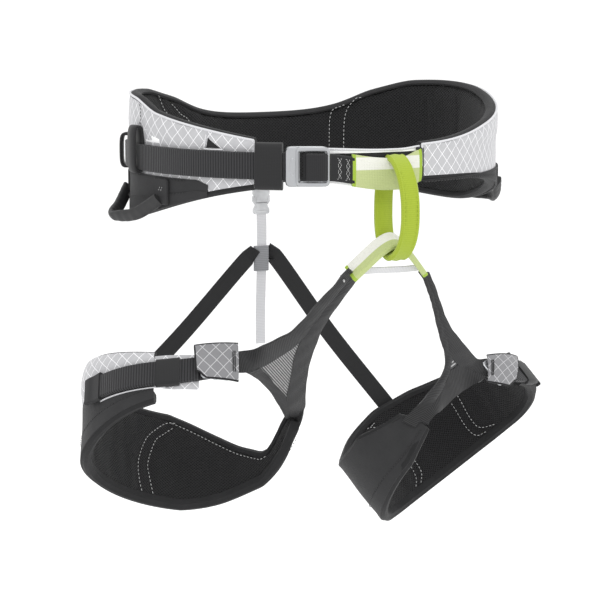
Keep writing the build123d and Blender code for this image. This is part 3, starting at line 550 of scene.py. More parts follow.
class Mesher:
    """Gathers skinned strips in millimetres and writes them as one mesh object."""

    def __init__(self) -> None:
        """Start empty."""
        self.verts: list[Vector] = []
        self.faces: list[tuple] = []
        self.uvs: list[list] = []
        self.slots: list[int] = []

    def skin(self, stations: Sequence[Station], section: Callable[[Station], list],
             closed: bool = False, slot: int = 0) -> "Mesher":
        """Skin a closed section over stations.

        Args:
            stations: the places in order.
            section: the section's (across, out) points at a station, always as many.
            closed: whether the last station joins the first.
            slot: the material's index.

        Returns:
            The mesher itself.
        """
        rings = []
        for place in stations:
            points = section(place)
            rings.append((len(self.verts), points, place.s))
            self.verts += [place.origin + place.across * a + place.out * b for a, b in points]
        size = len(rings[0][1])
        pairs = list(zip(rings, rings[1:]))
        if closed:
            first, last = rings[0], rings[-1]
            gap = (stations[-1].origin - stations[0].origin).length
            pairs.append((last, (first[0], first[1], last[2] + gap)))
        for (a, pts_a, sa), (b, pts_b, sb) in pairs:
            for k in range(size):
                n = (k + 1) % size
                self.faces.append((a + k, a + n, b + n, b + k))
                self.uvs.append([(sa, pts_a[k][0]), (sa, pts_a[n][0]), (sb, pts_b[n][0]),
                                 (sb, pts_b[k][0])])
                self.slots.append(slot)
        if not closed:
            for base, points, s in (rings[0], rings[-1]):
                self.faces.append(tuple(base + k for k in range(size)))
                self.uvs.append([(s + b, a) for a, b in points])
                self.slots.append(slot)
        return self

    def sheet(self, rows: Sequence[Sequence[Vector]], thick: float) -> "Mesher":
        """Build a thin solid on a grid of points.

        Args:
            rows: rows of points, all as long.
            thick: the cloth's thickness.

        Returns:
            The mesher itself.
        """
        base, high, wide = len(self.verts), len(rows), len(rows[0])
        normals = []
        for i in range(high):
            for j in range(wide):
                run = rows[min(i + 1, high - 1)][j] - rows[max(i - 1, 0)][j]
                side = rows[i][min(j + 1, wide - 1)] - rows[i][max(j - 1, 0)]
                normals.append(run.cross(side).normalized())
        points = [p for row in rows for p in row]
        for sign in (1, -1):
            self.verts += [p + n * (sign * thick / 2) for p, n in zip(points, normals)]
        middle = wide // 2
        along = [0.0]
        for a, b in zip(rows, rows[1:]):
            along.append(along[-1] + (b[middle] - a[middle]).length)
        across = [[(p - row[middle]).length * (1 if j >= middle else -1) for j, p in enumerate(row)]
                  for row in rows]
        total = high * wide

        def face(corners: Sequence[tuple], shift: Sequence[int]) -> None:
            self.faces.append(tuple(base + i * wide + j + k * total
                                    for (i, j), k in zip(corners, shift)))
            self.uvs.append([(along[i] + k * thick, across[i][j])
                             for (i, j), k in zip(corners, shift)])
            self.slots.append(0)

        for i in range(high - 1):
            for j in range(wide - 1):
                cell = ((i, j), (i, j + 1), (i + 1, j + 1), (i + 1, j))
                face(cell, (0, 0, 0, 0))
                face(tuple(reversed(cell)), (1, 1, 1, 1))
            for j in (0, wide - 1):
                face(((i, j), (i + 1, j), (i + 1, j), (i, j)), (0, 0, 1, 1))
        for j in range(wide - 1):
            for i in (0, high - 1):
                face(((i, j), (i, j + 1), (i, j + 1), (i, j)), (0, 0, 1, 1))
        return self

    def prism(self, place: Station, outline: Sequence[tuple], low: float, high: float,
              bevel: float = 0.4, slot: int = 0) -> "Mesher":
        """A plate with softened edges: outline points are (along, across)."""
        along = place.along
        middle = (sum(p[0] for p in outline) / len(outline),
                  sum(p[1] for p in outline) / len(outline))

        def inset(points: Sequence[tuple], by: float) -> list:
            moved = []
            for (x, y) in points:
                dx, dy = x - middle[0], y - middle[1]
                far = math.hypot(dx, dy) or 1.0
                moved.append((x - dx / far * by, y - dy / far * by))
            return moved

        levels = [(inset(outline, bevel), low), (outline, low + bevel), (outline, high - bevel),
                  (inset(outline, bevel), high)]
        base = len(self.verts)
        size = len(outline)
        for points, level in levels:
            self.verts += [place.origin + along * x + place.across * y + place.out * level
                           for x, y in points]
        for ring in range(3):
            for k in range(size):
                n = (k + 1) % size
                a, b = base + ring * size, base + (ring + 1) * size
                self.faces.append((a + k, a + n, b + n, b + k))
                self.uvs.append([outline[k], outline[n], outline[n], outline[k]])
                self.slots.append(slot)
        for ring in (0, 3):
            self.faces.append(tuple(base + ring * size + k for k in range(size)))
            self.uvs.append(list(levels[ring][0]))
            self.slots.append(slot)
        return self

    def build(self, name: str, materials: Sequence[bpy.types.Material],
              sharp: float = 42.0) -> bpy.types.Object:
        """Write the mesh object.

        Args:
            name: the object's name.
            materials: one for each slot.
            sharp: edges turning more than this many degrees stay crisp.

        Returns:
            The new object, linked to the scene.
        """
        mesh = bpy.data.meshes.new(name)
        mesh.from_pydata([v * MM for v in self.verts], [], self.faces)
        layer = mesh.uv_layers.new(name=UV_NAME)
        flat = [MM * value for face in self.uvs for point in face for value in point]
        layer.data.foreach_set("uv", flat)
        mesh.polygons.foreach_set("material_index", self.slots)
        for material in materials:
            mesh.materials.append(material)
        shape = bmesh.new()
        shape.from_mesh(mesh)
        bmesh.ops.recalc_face_normals(shape, faces=shape.faces)
        shape.to_mesh(mesh)
        shape.free()
        mesh.shade_smooth()
        mesh.set_sharp_from_angle(angle=math.radians(sharp))
        made = bpy.data.objects.new(name, mesh)
        bpy.context.collection.objects.link(made)
        return made

    def place(self, name: str, material: bpy.types.Material, body: str, nodes: Iterable[str] = (),
              slot: str = "", sharp: float = 42.0) -> None:
        """Build the mesh with one finish and tie it to its body and its CAD nodes."""
        settle(self.build(name, [material], sharp), body, nodes)


def settle(made: bpy.types.Object, body: str, nodes: Iterable[str] = ()) -> bpy.types.Object:
    """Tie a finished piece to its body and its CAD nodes."""
    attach(made, body)
    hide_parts(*nodes)
    log.info("%s rides %s, %d faces", made.name, body, len(made.data.polygons))
    return made


def flat(width: float, thick: float, base: float = 0.0, middle: float = 0.0,
         soften: float = 0.35) -> Section:
    """The section of a flat strap with softened edges, its inner face at base."""
    half, edge = width / 2, min(soften * thick, 0.9)
    low, high = base, base + thick
    points = [(-half, low + edge), (-half + edge, low), (half - edge, low), (half, low + edge),
              (half, high - edge), (half - edge, high), (-half + edge, high), (-half, high - edge)]
    moved = [(a + middle, b) for a, b in points]
    return lambda place: moved


def tube(radius: float, count: int = 10, middle: tuple = (0.0, 0.0),
         squash: float = 1.0) -> Section:
    """A round or oval section."""
    turns = full_turn(count)
    points = [(middle[0] + radius * math.cos(t), middle[1] + radius * squash * math.sin(t))
              for t in turns]
    return lambda place: points


def path_stations(points: Sequence[Vector], across: Callable[[int], Vector],
                  closed: bool = False) -> list[Station]:
    """Stations along a polyline, each with its own across direction.

    Args:
        points: the path in millimetres.
        across: the direction across the strap at each point.
        closed: whether the path comes back to its start.

    Returns:
        One station for each point.
    """
    total = len(points)
    places, s = [], 0.0
    for i, point in enumerate(points):
        before = points[(i - 1) % total] if closed or i else point
        after = points[(i + 1) % total] if closed or i < total - 1 else point
        run = (after - before).normalized()
        side = across(i)
        side = (side - run * side.dot(run)).normalized()
        if i:
            s += (point - points[i - 1]).length
        places.append(Station(point, side, run.cross(side), s))
    return places


# ---- outlines --------------------------------------------------------------------------------
@dataclass(frozen=True)
class Track:
    """A plan outline of four tangent arcs in its own plane, read by an angle from its front.

    side is 1 when positive angles lead to the wearer's left, and -1 when mirrored.
    """

    half_width: float
    front: float
    back: float
    side_radius: float
    centre: Vector = field(default_factory=lambda: Vector((0, 0, 0)))
    normal: Vector = field(default_factory=lambda: Vector((0, 0, 1)))
    side: int = 1

    def axes(self) -> tuple:
        """The outline's own X, Y and Z directions, with X mirrored where needed."""
        up = self.normal.normalized()
        wide = Vector((0, 1, 0)).cross(up).normalized()
        return wide * self.side, up.cross(wide), up

    def local(self, angle: float, off: float = 0.0) -> tuple:
        """The moved outline's point at an angle from the front, in its own plane."""
        ray = Vector((math.sin(math.radians(angle)), -math.cos(math.radians(angle))))
        depth = self.front if ray.y < 0 else self.back
        side_centre = self.half_width - self.side_radius
        inset = depth - self.side_radius
        shift = (side_centre ** 2 - inset ** 2) / (2 * inset)
        turn = math.atan2(shift, side_centre)
        limit = side_centre + (self.side_radius + off) * math.cos(turn)

        def leave(centre: Vector, radius: float) -> Vector:
            near = ray.dot(centre)
            return ray * (near + math.sqrt(near ** 2 + radius ** 2 - centre.dot(centre)))

        hit = leave(Vector((0, shift if ray.y < 0 else -shift)), depth + shift + off)
        if abs(hit.x) > limit:
            hit = leave(Vector((side_centre if ray.x > 0 else -side_centre, 0)),
                        self.side_radius + off)
        return hit.x, hit.y

    def world(self, u: float, v: float, w: float = 0.0) -> Vector:
        """A point of the outline's own space in the row frame, in millimetres."""
        wide, deep, up = self.axes()
        return self.centre + wide * u + deep * v + up * w

    def point(self, angle: float, off: float = 0.0, height: float = 0.0) -> Vector:
        """A point beside the outline in the row frame."""
        return self.world(*self.local(angle, off), height)

    def length_to(self, angle: float) -> float:
        """Distance round the outline from its front."""
        steps = max(2, int(abs(angle) / 4) + 1)
        points = [Vector(self.local(angle * k / steps)) for k in range(steps + 1)]
        run = sum((b - a).length for a, b in zip(points, points[1:]))
        return run if angle >= 0 else -run

    def station(self, angle: float) -> Station:
        """The place at an angle: across is up the normal and out is away from the middle."""
        ahead, here = Vector(self.local(angle + 0.05)), Vector(self.local(angle))
        along = (ahead - here).normalized()
        wide, deep, up = self.axes()
        out = wide * along.y - deep * along.x
        return Station(self.world(*here), up, out, self.length_to(angle), angle)

    def stations(self, start: float, end: float, step: float = 4.0) -> list[Station]:
        """Places from one angle to another, about step millimetres apart."""
        count = max(2, int(abs(self.length_to(end) - self.length_to(start)) / step) + 1)
        return [self.station(start + (end - start) * k / (count - 1)) for k in range(count)]

    def inverse(self, place: Vector) -> tuple:
        """The angle in 0 to 360, the height and the outward offset of a point in millimetres."""
        wide, deep, up = self.axes()
        gap = place - self.centre
        u, v, w = gap.dot(wide), gap.dot(deep), gap.dot(up)
        angle = math.degrees(math.atan2(u, -v)) % 360
        return angle, w, math.hypot(u, v) - math.hypot(*self.local(angle))


@dataclass(frozen=True)
class Pad:
    """A padded band round a track: its edges, its thickness and its quilting lines."""

    track: Track
    low: Callable[[Station], float]
    high: Callable[[Station], float]
    start: float
    end: float
    thick: float
    quilting: tuple = ()

    def edges(self, place: Station) -> tuple:
        """The heights of both edges."""
        return self.low(place), self.high(place)

    def core(self, name: str, material: bpy.types.Material, voxel: float, out: float,
             swell: float) -> bpy.types.Object:
        """Puff a closed form of lining and foam with cloth pressure, held along its quilting.

        Args:
            name: the object's name.
            material: the lining's finish.
            voxel: the remesh size in millimetres.
            out: the outward limit against the outline.
            swell: the largest movement in millimetres.

        Returns:
            The padded object.
        """
        margin = 1.6

        def section(place: Station) -> list:
            low, high = self.edges(place)
            low, high = low + margin, high - margin
            inner, outer, step = -self.thick, out, 2.4
            return [(low, inner + step), (low + step, inner), ((low + high) / 2, inner),
                    (high - step, inner), (high, inner + step), (high, outer - step),
                    (high - step, outer), ((low + high) / 2, outer), (low + step, outer),
                    (low, outer - step)]

        made = Mesher().skin(self.track.stations(self.start + 0.6, self.end - 0.6, 6.0),
                             section).build(name, [material])
        apply_modifier(made, "REMESH", mode="VOXEL", voxel_size=voxel * MM)
        rest = [v.co.copy() for v in made.data.vertices]
        where = [self.track.inverse(co / MM) for co in rest]
        lines = self.quilt_points()
        held = [self.near_quilting(lines, angle, height) if off < -0.55 * self.thick else 0.0
                for angle, height, off in where]
        group = made.vertex_groups.new(name="held")
        for index, hold in enumerate(held):
            if hold > 0.5:
                group.add([index], 1.0, "REPLACE")
        simulate(made)
        moved = [v.co.copy() for v in made.data.vertices]
        for vertex, old, new, hold in zip(made.data.vertices, rest, moved, held):
            shift = new - old
            length = shift.length / MM
            limit = swell * (1 - hold)
            vertex.co = old + (shift * (limit / length) if length > limit else shift)
        for vertex, (angle, height, off), hold in zip(made.data.vertices, where, held):
            away = self.track.station(angle).out
            if hold > 0:
                vertex.co += away * (1.5 * hold * MM)
            over = self.track.inverse(vertex.co / MM)[2] - out
            if over > 0:
                vertex.co -= away * over * MM
        apply_modifier(made, "SUBSURF", levels=1)
        self.map_surface(made)
        made.data.shade_smooth()
        return made

    def quilt_points(self) -> list:
        """Fine points of the quilting lines as (angle, height)."""
        fine = []
        for line in self.quilting:
            for (a0, h0), (a1, h1) in zip(line, line[1:]):
                fine += [(a0 + (a1 - a0) * k / 12, h0 + (h1 - h0) * k / 12) for k in range(13)]
        return fine

    def near_quilting(self, lines: list, angle: float, height: float) -> float:
        """How far into a quilting groove a place is, from 0 to 1."""
        scale = math.radians(1) * 0.5 * (self.track.half_width + self.track.front)
        best = min((math.hypot((a - angle) * scale, h - height) for a, h in lines), default=99.0)
        return max(0.0, 1 - best / 5.0)

    def map_surface(self, made: bpy.types.Object) -> None:
        """Write the surface map after a remesh: distance round the outline, and height."""
        table = [self.track.length_to(a) for a in range(0, 361, 3)]
        mesh = made.data
        layer = mesh.uv_layers.get(UV_NAME) or mesh.uv_layers.new(name=UV_NAME)
        spots = []
        for vertex in mesh.vertices:
            angle, height, _ = self.track.inverse(vertex.co / MM)
            k = min(int(angle / 3), len(table) - 2)
            s = table[k] + (table[k + 1] - table[k]) * (angle / 3 - k)
            spots.append((s * MM, height * MM))
        flat_map = [value for loop in mesh.loops for value in spots[loop.vertex_index]]
        layer.data.foreach_set("uv", flat_map)

    def rim(self, mesher: Mesher, upper: bool, stations: Sequence[Station], depth: float,
            swell: float) -> None:
        """A rounded binding rolled over an edge."""
        sign = 1 if upper else -1

        def section(place: Station) -> list:
            edge = self.edges(place)[1 if upper else 0]
            inner, outer, mid = -self.thick - 0.4, 0.4, (-self.thick) / 2
            return [(edge - sign * depth, inner + 0.8), (edge - sign * depth * 0.7, inner - 0.1),
                    (edge - sign * 1.6, inner - 0.2), (edge - sign * 0.3, inner + 1.2),
                    (edge + sign * swell, mid - 1.4), (edge + sign * swell, mid + 1.4),
                    (edge - sign * 0.3, outer - 1.0), (edge - sign * 1.6, outer + 0.2),
                    (edge - sign * depth * 0.7, outer + 0.1), (edge - sign * depth, outer - 0.8)]

        mesher.skin(stations, section)

    def shell(self, mesher: Mesher, stations: Sequence[Station], low: Callable[[Station], float],
              high: Callable[[Station], float], rise: Callable[[Station, float], float],
              thick: float = 1.2, slot: int = 0, count: int = 9) -> None:
        """A thin outer cloth between two heights, with its own rise off the outline."""

        def section(place: Station) -> list:
            bottom, top = low(place), high(place)
            heights = [bottom + (top - bottom) * k / (count - 1) for k in range(count)]
            outer = [(h, rise(place, h)) for h in heights]
            inner = [(h, b - thick) for h, b in reversed(outer)]
            return outer + inner

        mesher.skin(stations, section, slot=slot)


def apply_modifier(made: bpy.types.Object, kind: str, **settings: object) -> None:
    """Add one modifier, set it and replace the mesh by its result."""
    modifier = made.modifiers.new(kind.lower(), kind)
    for key, value in settings.items():
        setattr(modifier, key, value)
    bake(made)


def bake(made: bpy.types.Object) -> None:
    """Replace a mesh by what its modifiers make of it, and remove them."""
    depsgraph = bpy.context.evaluated_depsgraph_get()
    result = bpy.data.meshes.new_from_object(made.evaluated_get(depsgraph),
                                             preserve_all_data_layers=True, depsgraph=depsgraph)
    made.modifiers.clear()
    old = made.data
    made.data = result
    result.name = made.name
    bpy.data.meshes.remove(old)


def simulate(made: bpy.types.Object, frames: int = 12) -> None:
    """Blow a closed cloth up from the inside for a few frames, with its held points pinned."""
    cloth = made.modifiers.new("cloth", "CLOTH")
    settings = cloth.settings
    settings.quality = 4
    settings.use_pressure = True
    settings.uniform_pressure_force = 4.0
    settings.effector_weights.gravity = 0.0
    settings.vertex_group_mass = "held"
    settings.tension_stiffness = 20.0
    settings.compression_stiffness = 20.0
    settings.bending_stiffness = 0.8
    cloth.point_cache.frame_start, cloth.point_cache.frame_end = 1, frames
    scene = bpy.context.scene
    for number in range(1, frames + 1):
        scene.frame_set(number)
    bake(made)
    scene.frame_set(1)


# ---- stitches --------------------------------------------------------------------------------
@dataclass(frozen=True)
class StitchRows:
    """Sewn rows made by one geometry-nodes tree: a capsule at each step along polylines."""

    pitch: float = 3.4
    length: float = 2.2
    radius: float = 0.34

    def tree(self) -> bpy.types.NodeTree:
        """Build the node tree with its named inputs."""
        made = bpy.data.node_groups.new("stitch_rows", "GeometryNodeTree")
        face = made.interface
        face.new_socket("Geometry", in_out="INPUT", socket_type="NodeSocketGeometry")
        for label in ("Pitch", "Length", "Radius"):
            face.new_socket(label, in_out="INPUT", socket_type="NodeSocketFloat")
        face.new_socket("Material", in_out="INPUT", socket_type="NodeSocketMaterial")
        face.new_socket("Geometry", in_out="OUTPUT", socket_type="NodeSocketGeometry")
        source = add(made, "NodeGroupInput")
        curve = add(made, "GeometryNodeMeshToCurve", Mesh=source.outputs["Geometry"])
        spaced = add(made, "GeometryNodeResampleCurve", {"mode": "LENGTH"}, Curve=curve.outputs[0])
        made.links.new(source.outputs["Pitch"], spaced.inputs["Length"])
        bead = add(made, "GeometryNodeMeshUVSphere", Segments=6, Rings=5, Radius=1.0)
        tangent = add(made, "GeometryNodeInputTangent")
        turned = add(made, "FunctionNodeAlignRotationToVector", {"axis": "Z"},
                     Vector=tangent.outputs[0])
        half = calc(made, "MULTIPLY", in_0=source.outputs["Length"], in_1=0.5)
        size = add(made, "ShaderNodeCombineXYZ", X=source.outputs["Radius"],
                   Y=source.outputs["Radius"], Z=half.outputs[0])
        placed = add(made, "GeometryNodeInstanceOnPoints", Points=spaced.outputs[0],
                     Instance=bead.outputs[0], Rotation=turned.outputs[0], Scale=size.outputs[0])
        real = add(made, "GeometryNodeRealizeInstances", Geometry=placed.outputs[0])
        coated = add(made, "GeometryNodeSetMaterial", Geometry=real.outputs[0],
                     Material=source.outputs["Material"])
        out = add(made, "NodeGroupOutput")
        made.links.new(coated.outputs[0], out.inputs[0])
        return made

    def sew(self, name: str, rows: Sequence[Sequence[Vector]], material: bpy.types.Material,
            body: str, tree: bpy.types.NodeTree, scale: float = 1.0) -> bpy.types.Object:
        """Sew rows of thread.

        Args:
            name: the object's name.
            rows: polylines in millimetres.
            material: the thread's finish.
            body: the body that it rides.
            tree: the node tree from tree().
            scale: size of each stitch against the standard one.

        Returns:
            The stitches as one plain mesh.
        """
        verts, edges = [], []
        for row in rows:
            base = len(verts)
            verts += [p * MM for p in row]
            edges += [(base + k, base + k + 1) for k in range(len(row) - 1)]
        mesh = bpy.data.meshes.new(name)
        mesh.from_pydata(verts, edges, [])
        made = bpy.data.objects.new(name, mesh)
        bpy.context.collection.objects.link(made)
        modifier = made.modifiers.new("rows", "NODES")
        modifier.node_group = tree
        values = {"Pitch": self.pitch * scale * MM, "Length": self.length * scale * MM,
                  "Radius": self.radius * scale * MM, "Material": material}
        for item in tree.interface.items_tree:
            if item.item_type == "SOCKET" and item.in_out == "INPUT" and item.name in values:
                modifier[item.identifier] = values[item.name]
        bake(made)
        made.data.shade_smooth()
        return settle(made, body)


def zigzag(track: Track, angle: float, low: float, high: float, off: float, half_angle: float,
           teeth: int) -> list[Vector]:
    """A bartack's zigzag up a strap at one angle."""
    return [track.point(angle + (half_angle if k % 2 else -half_angle), off,
                        low + (high - low) * k / teeth) for k in range(teeth + 1)]


# ---- waist belt ------------------------------------------------------------------------------
BELT = Track(155.0, 150.0, 102.0, 85.0)
BELT_TOP = Line(((-190, 14), (-150, 15), (-112.5, 25.9), (-57, 37.4), (0, 47), (61.2, 48.5),
                 (81.6, 40), (93.8, 27), (102, 22), (142, 13)))
BELT_LOW = Line(((-190, -13), (-150, -14), (-109.5, -19), (0, -48), (40.8, -50), (91.8, -41),
                 (102, -38), (142, -36)))
BELT_START, BELT_END = 9.5, 317.5
GEAR_ENDS = (75.0, 110.0)
PAD_VOXEL = 4.4
BACK_EDGE = 148.7
QUILTING = (((133, 46), (135.5, 34), (139.5, 15), (139.5, -40)),
            ((140, 38), (141.5, 32), (146, 17), (146, -38)),
            ((233, 34), (229, 26), (223.5, 14), (222, -38)),
            ((240, 42), (237, 30), (231, 14), (229, -38)))


def belt_top(place: Station) -> float:
    """The belt's upper edge, cut a little lower on the buckle's wing."""
    return BELT_TOP.at(place.origin.y) - 6.0 * smooth((place.turn % 360 - 268.0) / 14.0)


def belt_low(place: Station) -> float:
    """The belt's lower edge."""
    return BELT_LOW.at(place.origin.y)


@dataclass(frozen=True)
class WaistBelt:
    """The padded belt: spacer-mesh pad, ripstop shell, softshell bands, bindings and piping."""

    finish: Palette
    shell_bottom: float = -13.5
    web_half: float = 11.0
    puff: float = 2.0
    band_tip: float = -57.5
    piping: float = 0.95
    pad: Pad = Pad(BELT, belt_low, belt_top, BELT_START, BELT_END, 8.4, QUILTING)

    def rise(self, place: Station, height: float) -> float:
        """How far the shell stands off: flat below the webbing's top, puffed above it."""
        top = belt_top(place)
        share = (height - self.web_half) / max(top - self.web_half, 1.0)
        if share <= 0:
            return 0.05
        swell = self.puff * math.sin(math.pi * min(1.0, share)) ** 0.8
        swell *= min(1.0, (top - self.web_half) / 14)
        return 0.05 + swell * (1 + 0.25 * math.sin(place.s / 15)
                               + 0.12 * math.sin(place.s / 6.3 + height / 5))

    def build(self) -> None:
        """Build every piece of the belt."""
        lining = self.pad.core("belt_lining_pad", self.finish.lining, PAD_VOXEL, -1.3, 1.1)
        settle(lining, "waist_belt", ("belt_lining", "belt_foam_core"))
        shell = Mesher()
        for start, end in ((BELT_START, BACK_EDGE), (360 - BACK_EDGE, BELT_END)):
            self.pad.shell(shell, BELT.stations(start + 0.1, end - 0.1, 3.0),
                           lambda p: belt_low(p) + 1.2, lambda p: belt_top(p) - 0.4, self.rise, 1.1,
                           count=15)
        shell.place("belt_ripstop_shell", self.finish.shell, "waist_belt",
                    ("belt_shell_left", "belt_shell_right"), "ripstop_shell", sharp=60)
        back = Mesher()
        self.pad.shell(back, BELT.stations(BACK_EDGE + 0.1, 359.9 - BACK_EDGE, 3.0),
                       lambda p: belt_low(p) + 1.2, lambda p: belt_top(p) - 0.6, self.rise, 1.1,
                       count=12)
        back.place("belt_back_panel", self.finish.softshell, "waist_belt", ("belt_shell_back",),
                   "softshell", sharp=60)
        self.rims()
        self.bands()
        self.patches()

    def rims(self) -> None:
        """The bindings along both edges, and the white piping along the top and down the wing ends.
        """
        rim = Mesher()
        around = BELT.stations(BELT_START + 0.1, BELT_END - 0.1, 4.0)
        self.pad.rim(rim, True, around, 3.3, 1.1)
        self.pad.rim(rim, False, around, 4.6, 0.8)
        rim.place("belt_edge_bindings", self.finish.rim, "waist_belt",
                  ("belt_binding_top", "belt_binding_bottom"), "softshell")
        piping = Mesher()
        runs = ((BELT_START, BACK_EDGE - 2), (360 - BACK_EDGE + 2, BELT_END))
        for start, end in runs:
            places = BELT.stations(start, end, 3.0)
            path = [BELT.point(p.turn, 0.5, belt_top(p) - 0.6) for p in places]
            piping.skin(path_stations(path, lambda i: UP), tube(self.piping, 8))
        for angle, low in ((BELT_START + 0.05, -2.0), (BELT_END - 0.05, 0.0)):
            place = BELT.station(angle)
            path = [BELT.point(angle, 0.5, belt_top(place) - 0.6 + (low - belt_top(place)) * k / 6)
                    for k in range(7)]
            piping.skin(path_stations(path, lambda i: place.out), tube(self.piping, 8))
        piping.place("belt_white_piping", self.finish.white, "waist_belt", (), "white_webbing")

    def bands(self) -> None:
        """The smooth lower bands, each in two lapped cloths."""
        bands = Mesher()
        for start, end, tip in ((BELT_START + 0.3, BACK_EDGE, 0), (-BACK_EDGE, self.band_tip, 1)):
            places = BELT.stations(start, end, 3.0)
            last = places[-1].s

            def high(place: Station, last: float = last, tip: int = tip) -> float:
                left = (last - place.s) if tip else 99.0
                return self.shell_bottom - max(0.0, 10 - left) * 0.35

            def low(place: Station) -> float:
                return min(belt_low(place) - 0.3, high(place) - 1.5)

            self.pad.shell(bands, places, low, high,
                           lambda p, h: 1.3 + 0.35 * math.sin(p.s / 23 + h / 9), 1.2, count=8)
            self.pad.shell(bands, places, low, lambda p: 0.45 * high(p) + 0.55 * low(p),
                           lambda p, h: 1.75 + 0.3 * math.sin(p.s / 23 + h / 9), 0.8, count=4)
        bands.place("belt_lower_bands", self.finish.softshell, "waist_belt",
                    ("belt_band_left", "belt_band_right"), "softshell", sharp=50)

    def patches(self) -> None:
        """The plain label, the piped triangular slot and its opening on the right wing."""
        label = Mesher()
        places = BELT.stations(-84.0, -76.5, 2.0)
        label.skin(places, lambda p: [(13.0 + 9.5 * k / 5, self.rise(p, 13.0 + 9.5 * k / 5) + 0.35)
                                      for k in range(6)]
                   + [(22.5 - 9.5 * k / 5, self.rise(p, 22.5 - 9.5 * k / 5) - 0.1)
                      for k in range(6)])
        label.place("belt_blank_label", self.finish.label, "waist_belt")
        edge = Mesher()
        corners = [(-57.5, 22.6), (-58.3, 11.4), (-52.0, 11.6)]
        lifted = [BELT.point(a, 2.2, h) for a, h in corners]
        ring = curve_through([lifted[0], lifted[0].lerp(lifted[1], 0.9),
                              lifted[1].lerp(lifted[2], 0.1), lifted[2]], 14)
        edge.skin(path_stations(ring, lambda i: UP + Vector((0.4, 0, 0))), tube(0.75, 6))
        edge.place("belt_slot_piping", self.finish.white, "waist_belt")
        mouth = Mesher()
        inner = [(lifted[0] * 0.8 + lifted[1] * 0.1 + lifted[2] * 0.1),
                 (lifted[0] * 0.1 + lifted[1] * 0.8 + lifted[2] * 0.1),
                 (lifted[0] * 0.1 + lifted[1] * 0.1 + lifted[2] * 0.8)]
        place = BELT.station(-56.0)
        along = place.along
        outline = [((p - place.origin).dot(along), (p - place.origin).dot(place.across))
                   for p in inner]
        mouth.prism(place, outline, 0.6, 1.9, 0.2)
        mouth.place("belt_slot_mouth", self.finish.rim, "waist_belt")

    def rows(self) -> list:
        """White quilting rows on the inside of the belt."""
        rows = []
        for line in QUILTING:
            points = [BELT.point(a, -8.9, min(max(h, -46), belt_top(BELT.station(a)) - 3.5))
                      for a, h in line]
            rows.append(curve_through(points, 40))
        return rows

    def dark_rows(self) -> list:
        """Dark rows along the lower bands."""
        rows = []
        for start, end in ((BELT_START + 1, BACK_EDGE - 4), (-BACK_EDGE + 4, -66.0)):
            places = BELT.stations(start, end, 4.0)
            rows.append([BELT.point(p.turn, 1.75, self.shell_bottom - 1.4) for p in places])
            rows.append([BELT.point(p.turn, 2.35,
                                    0.45 * self.shell_bottom + 0.55 * belt_low(p) - 0.8)
                         for p in places])
        rows.append(zigzag(BELT, -86.0, 13.0, belt_top(BELT.station(-86.0)) - 2, 2.6, 0.35, 12))
        return rows


# ---- waist webbing, buckle and holders -------------------------------------------------------
def sag(turn: float) -> float:
    """How far the unpadded front of the belt hangs down between the buckle and the left wing."""
    return -7.0 * smooth((turn + 24.0) / 22.0) * smooth((11.0 - turn) / 9.0)


def sagged(section: Section) -> Section:
    """The same section, lowered by the sag at each station."""
    return lambda place: [(a + sag(place.turn), b) for a, b in section(place)]


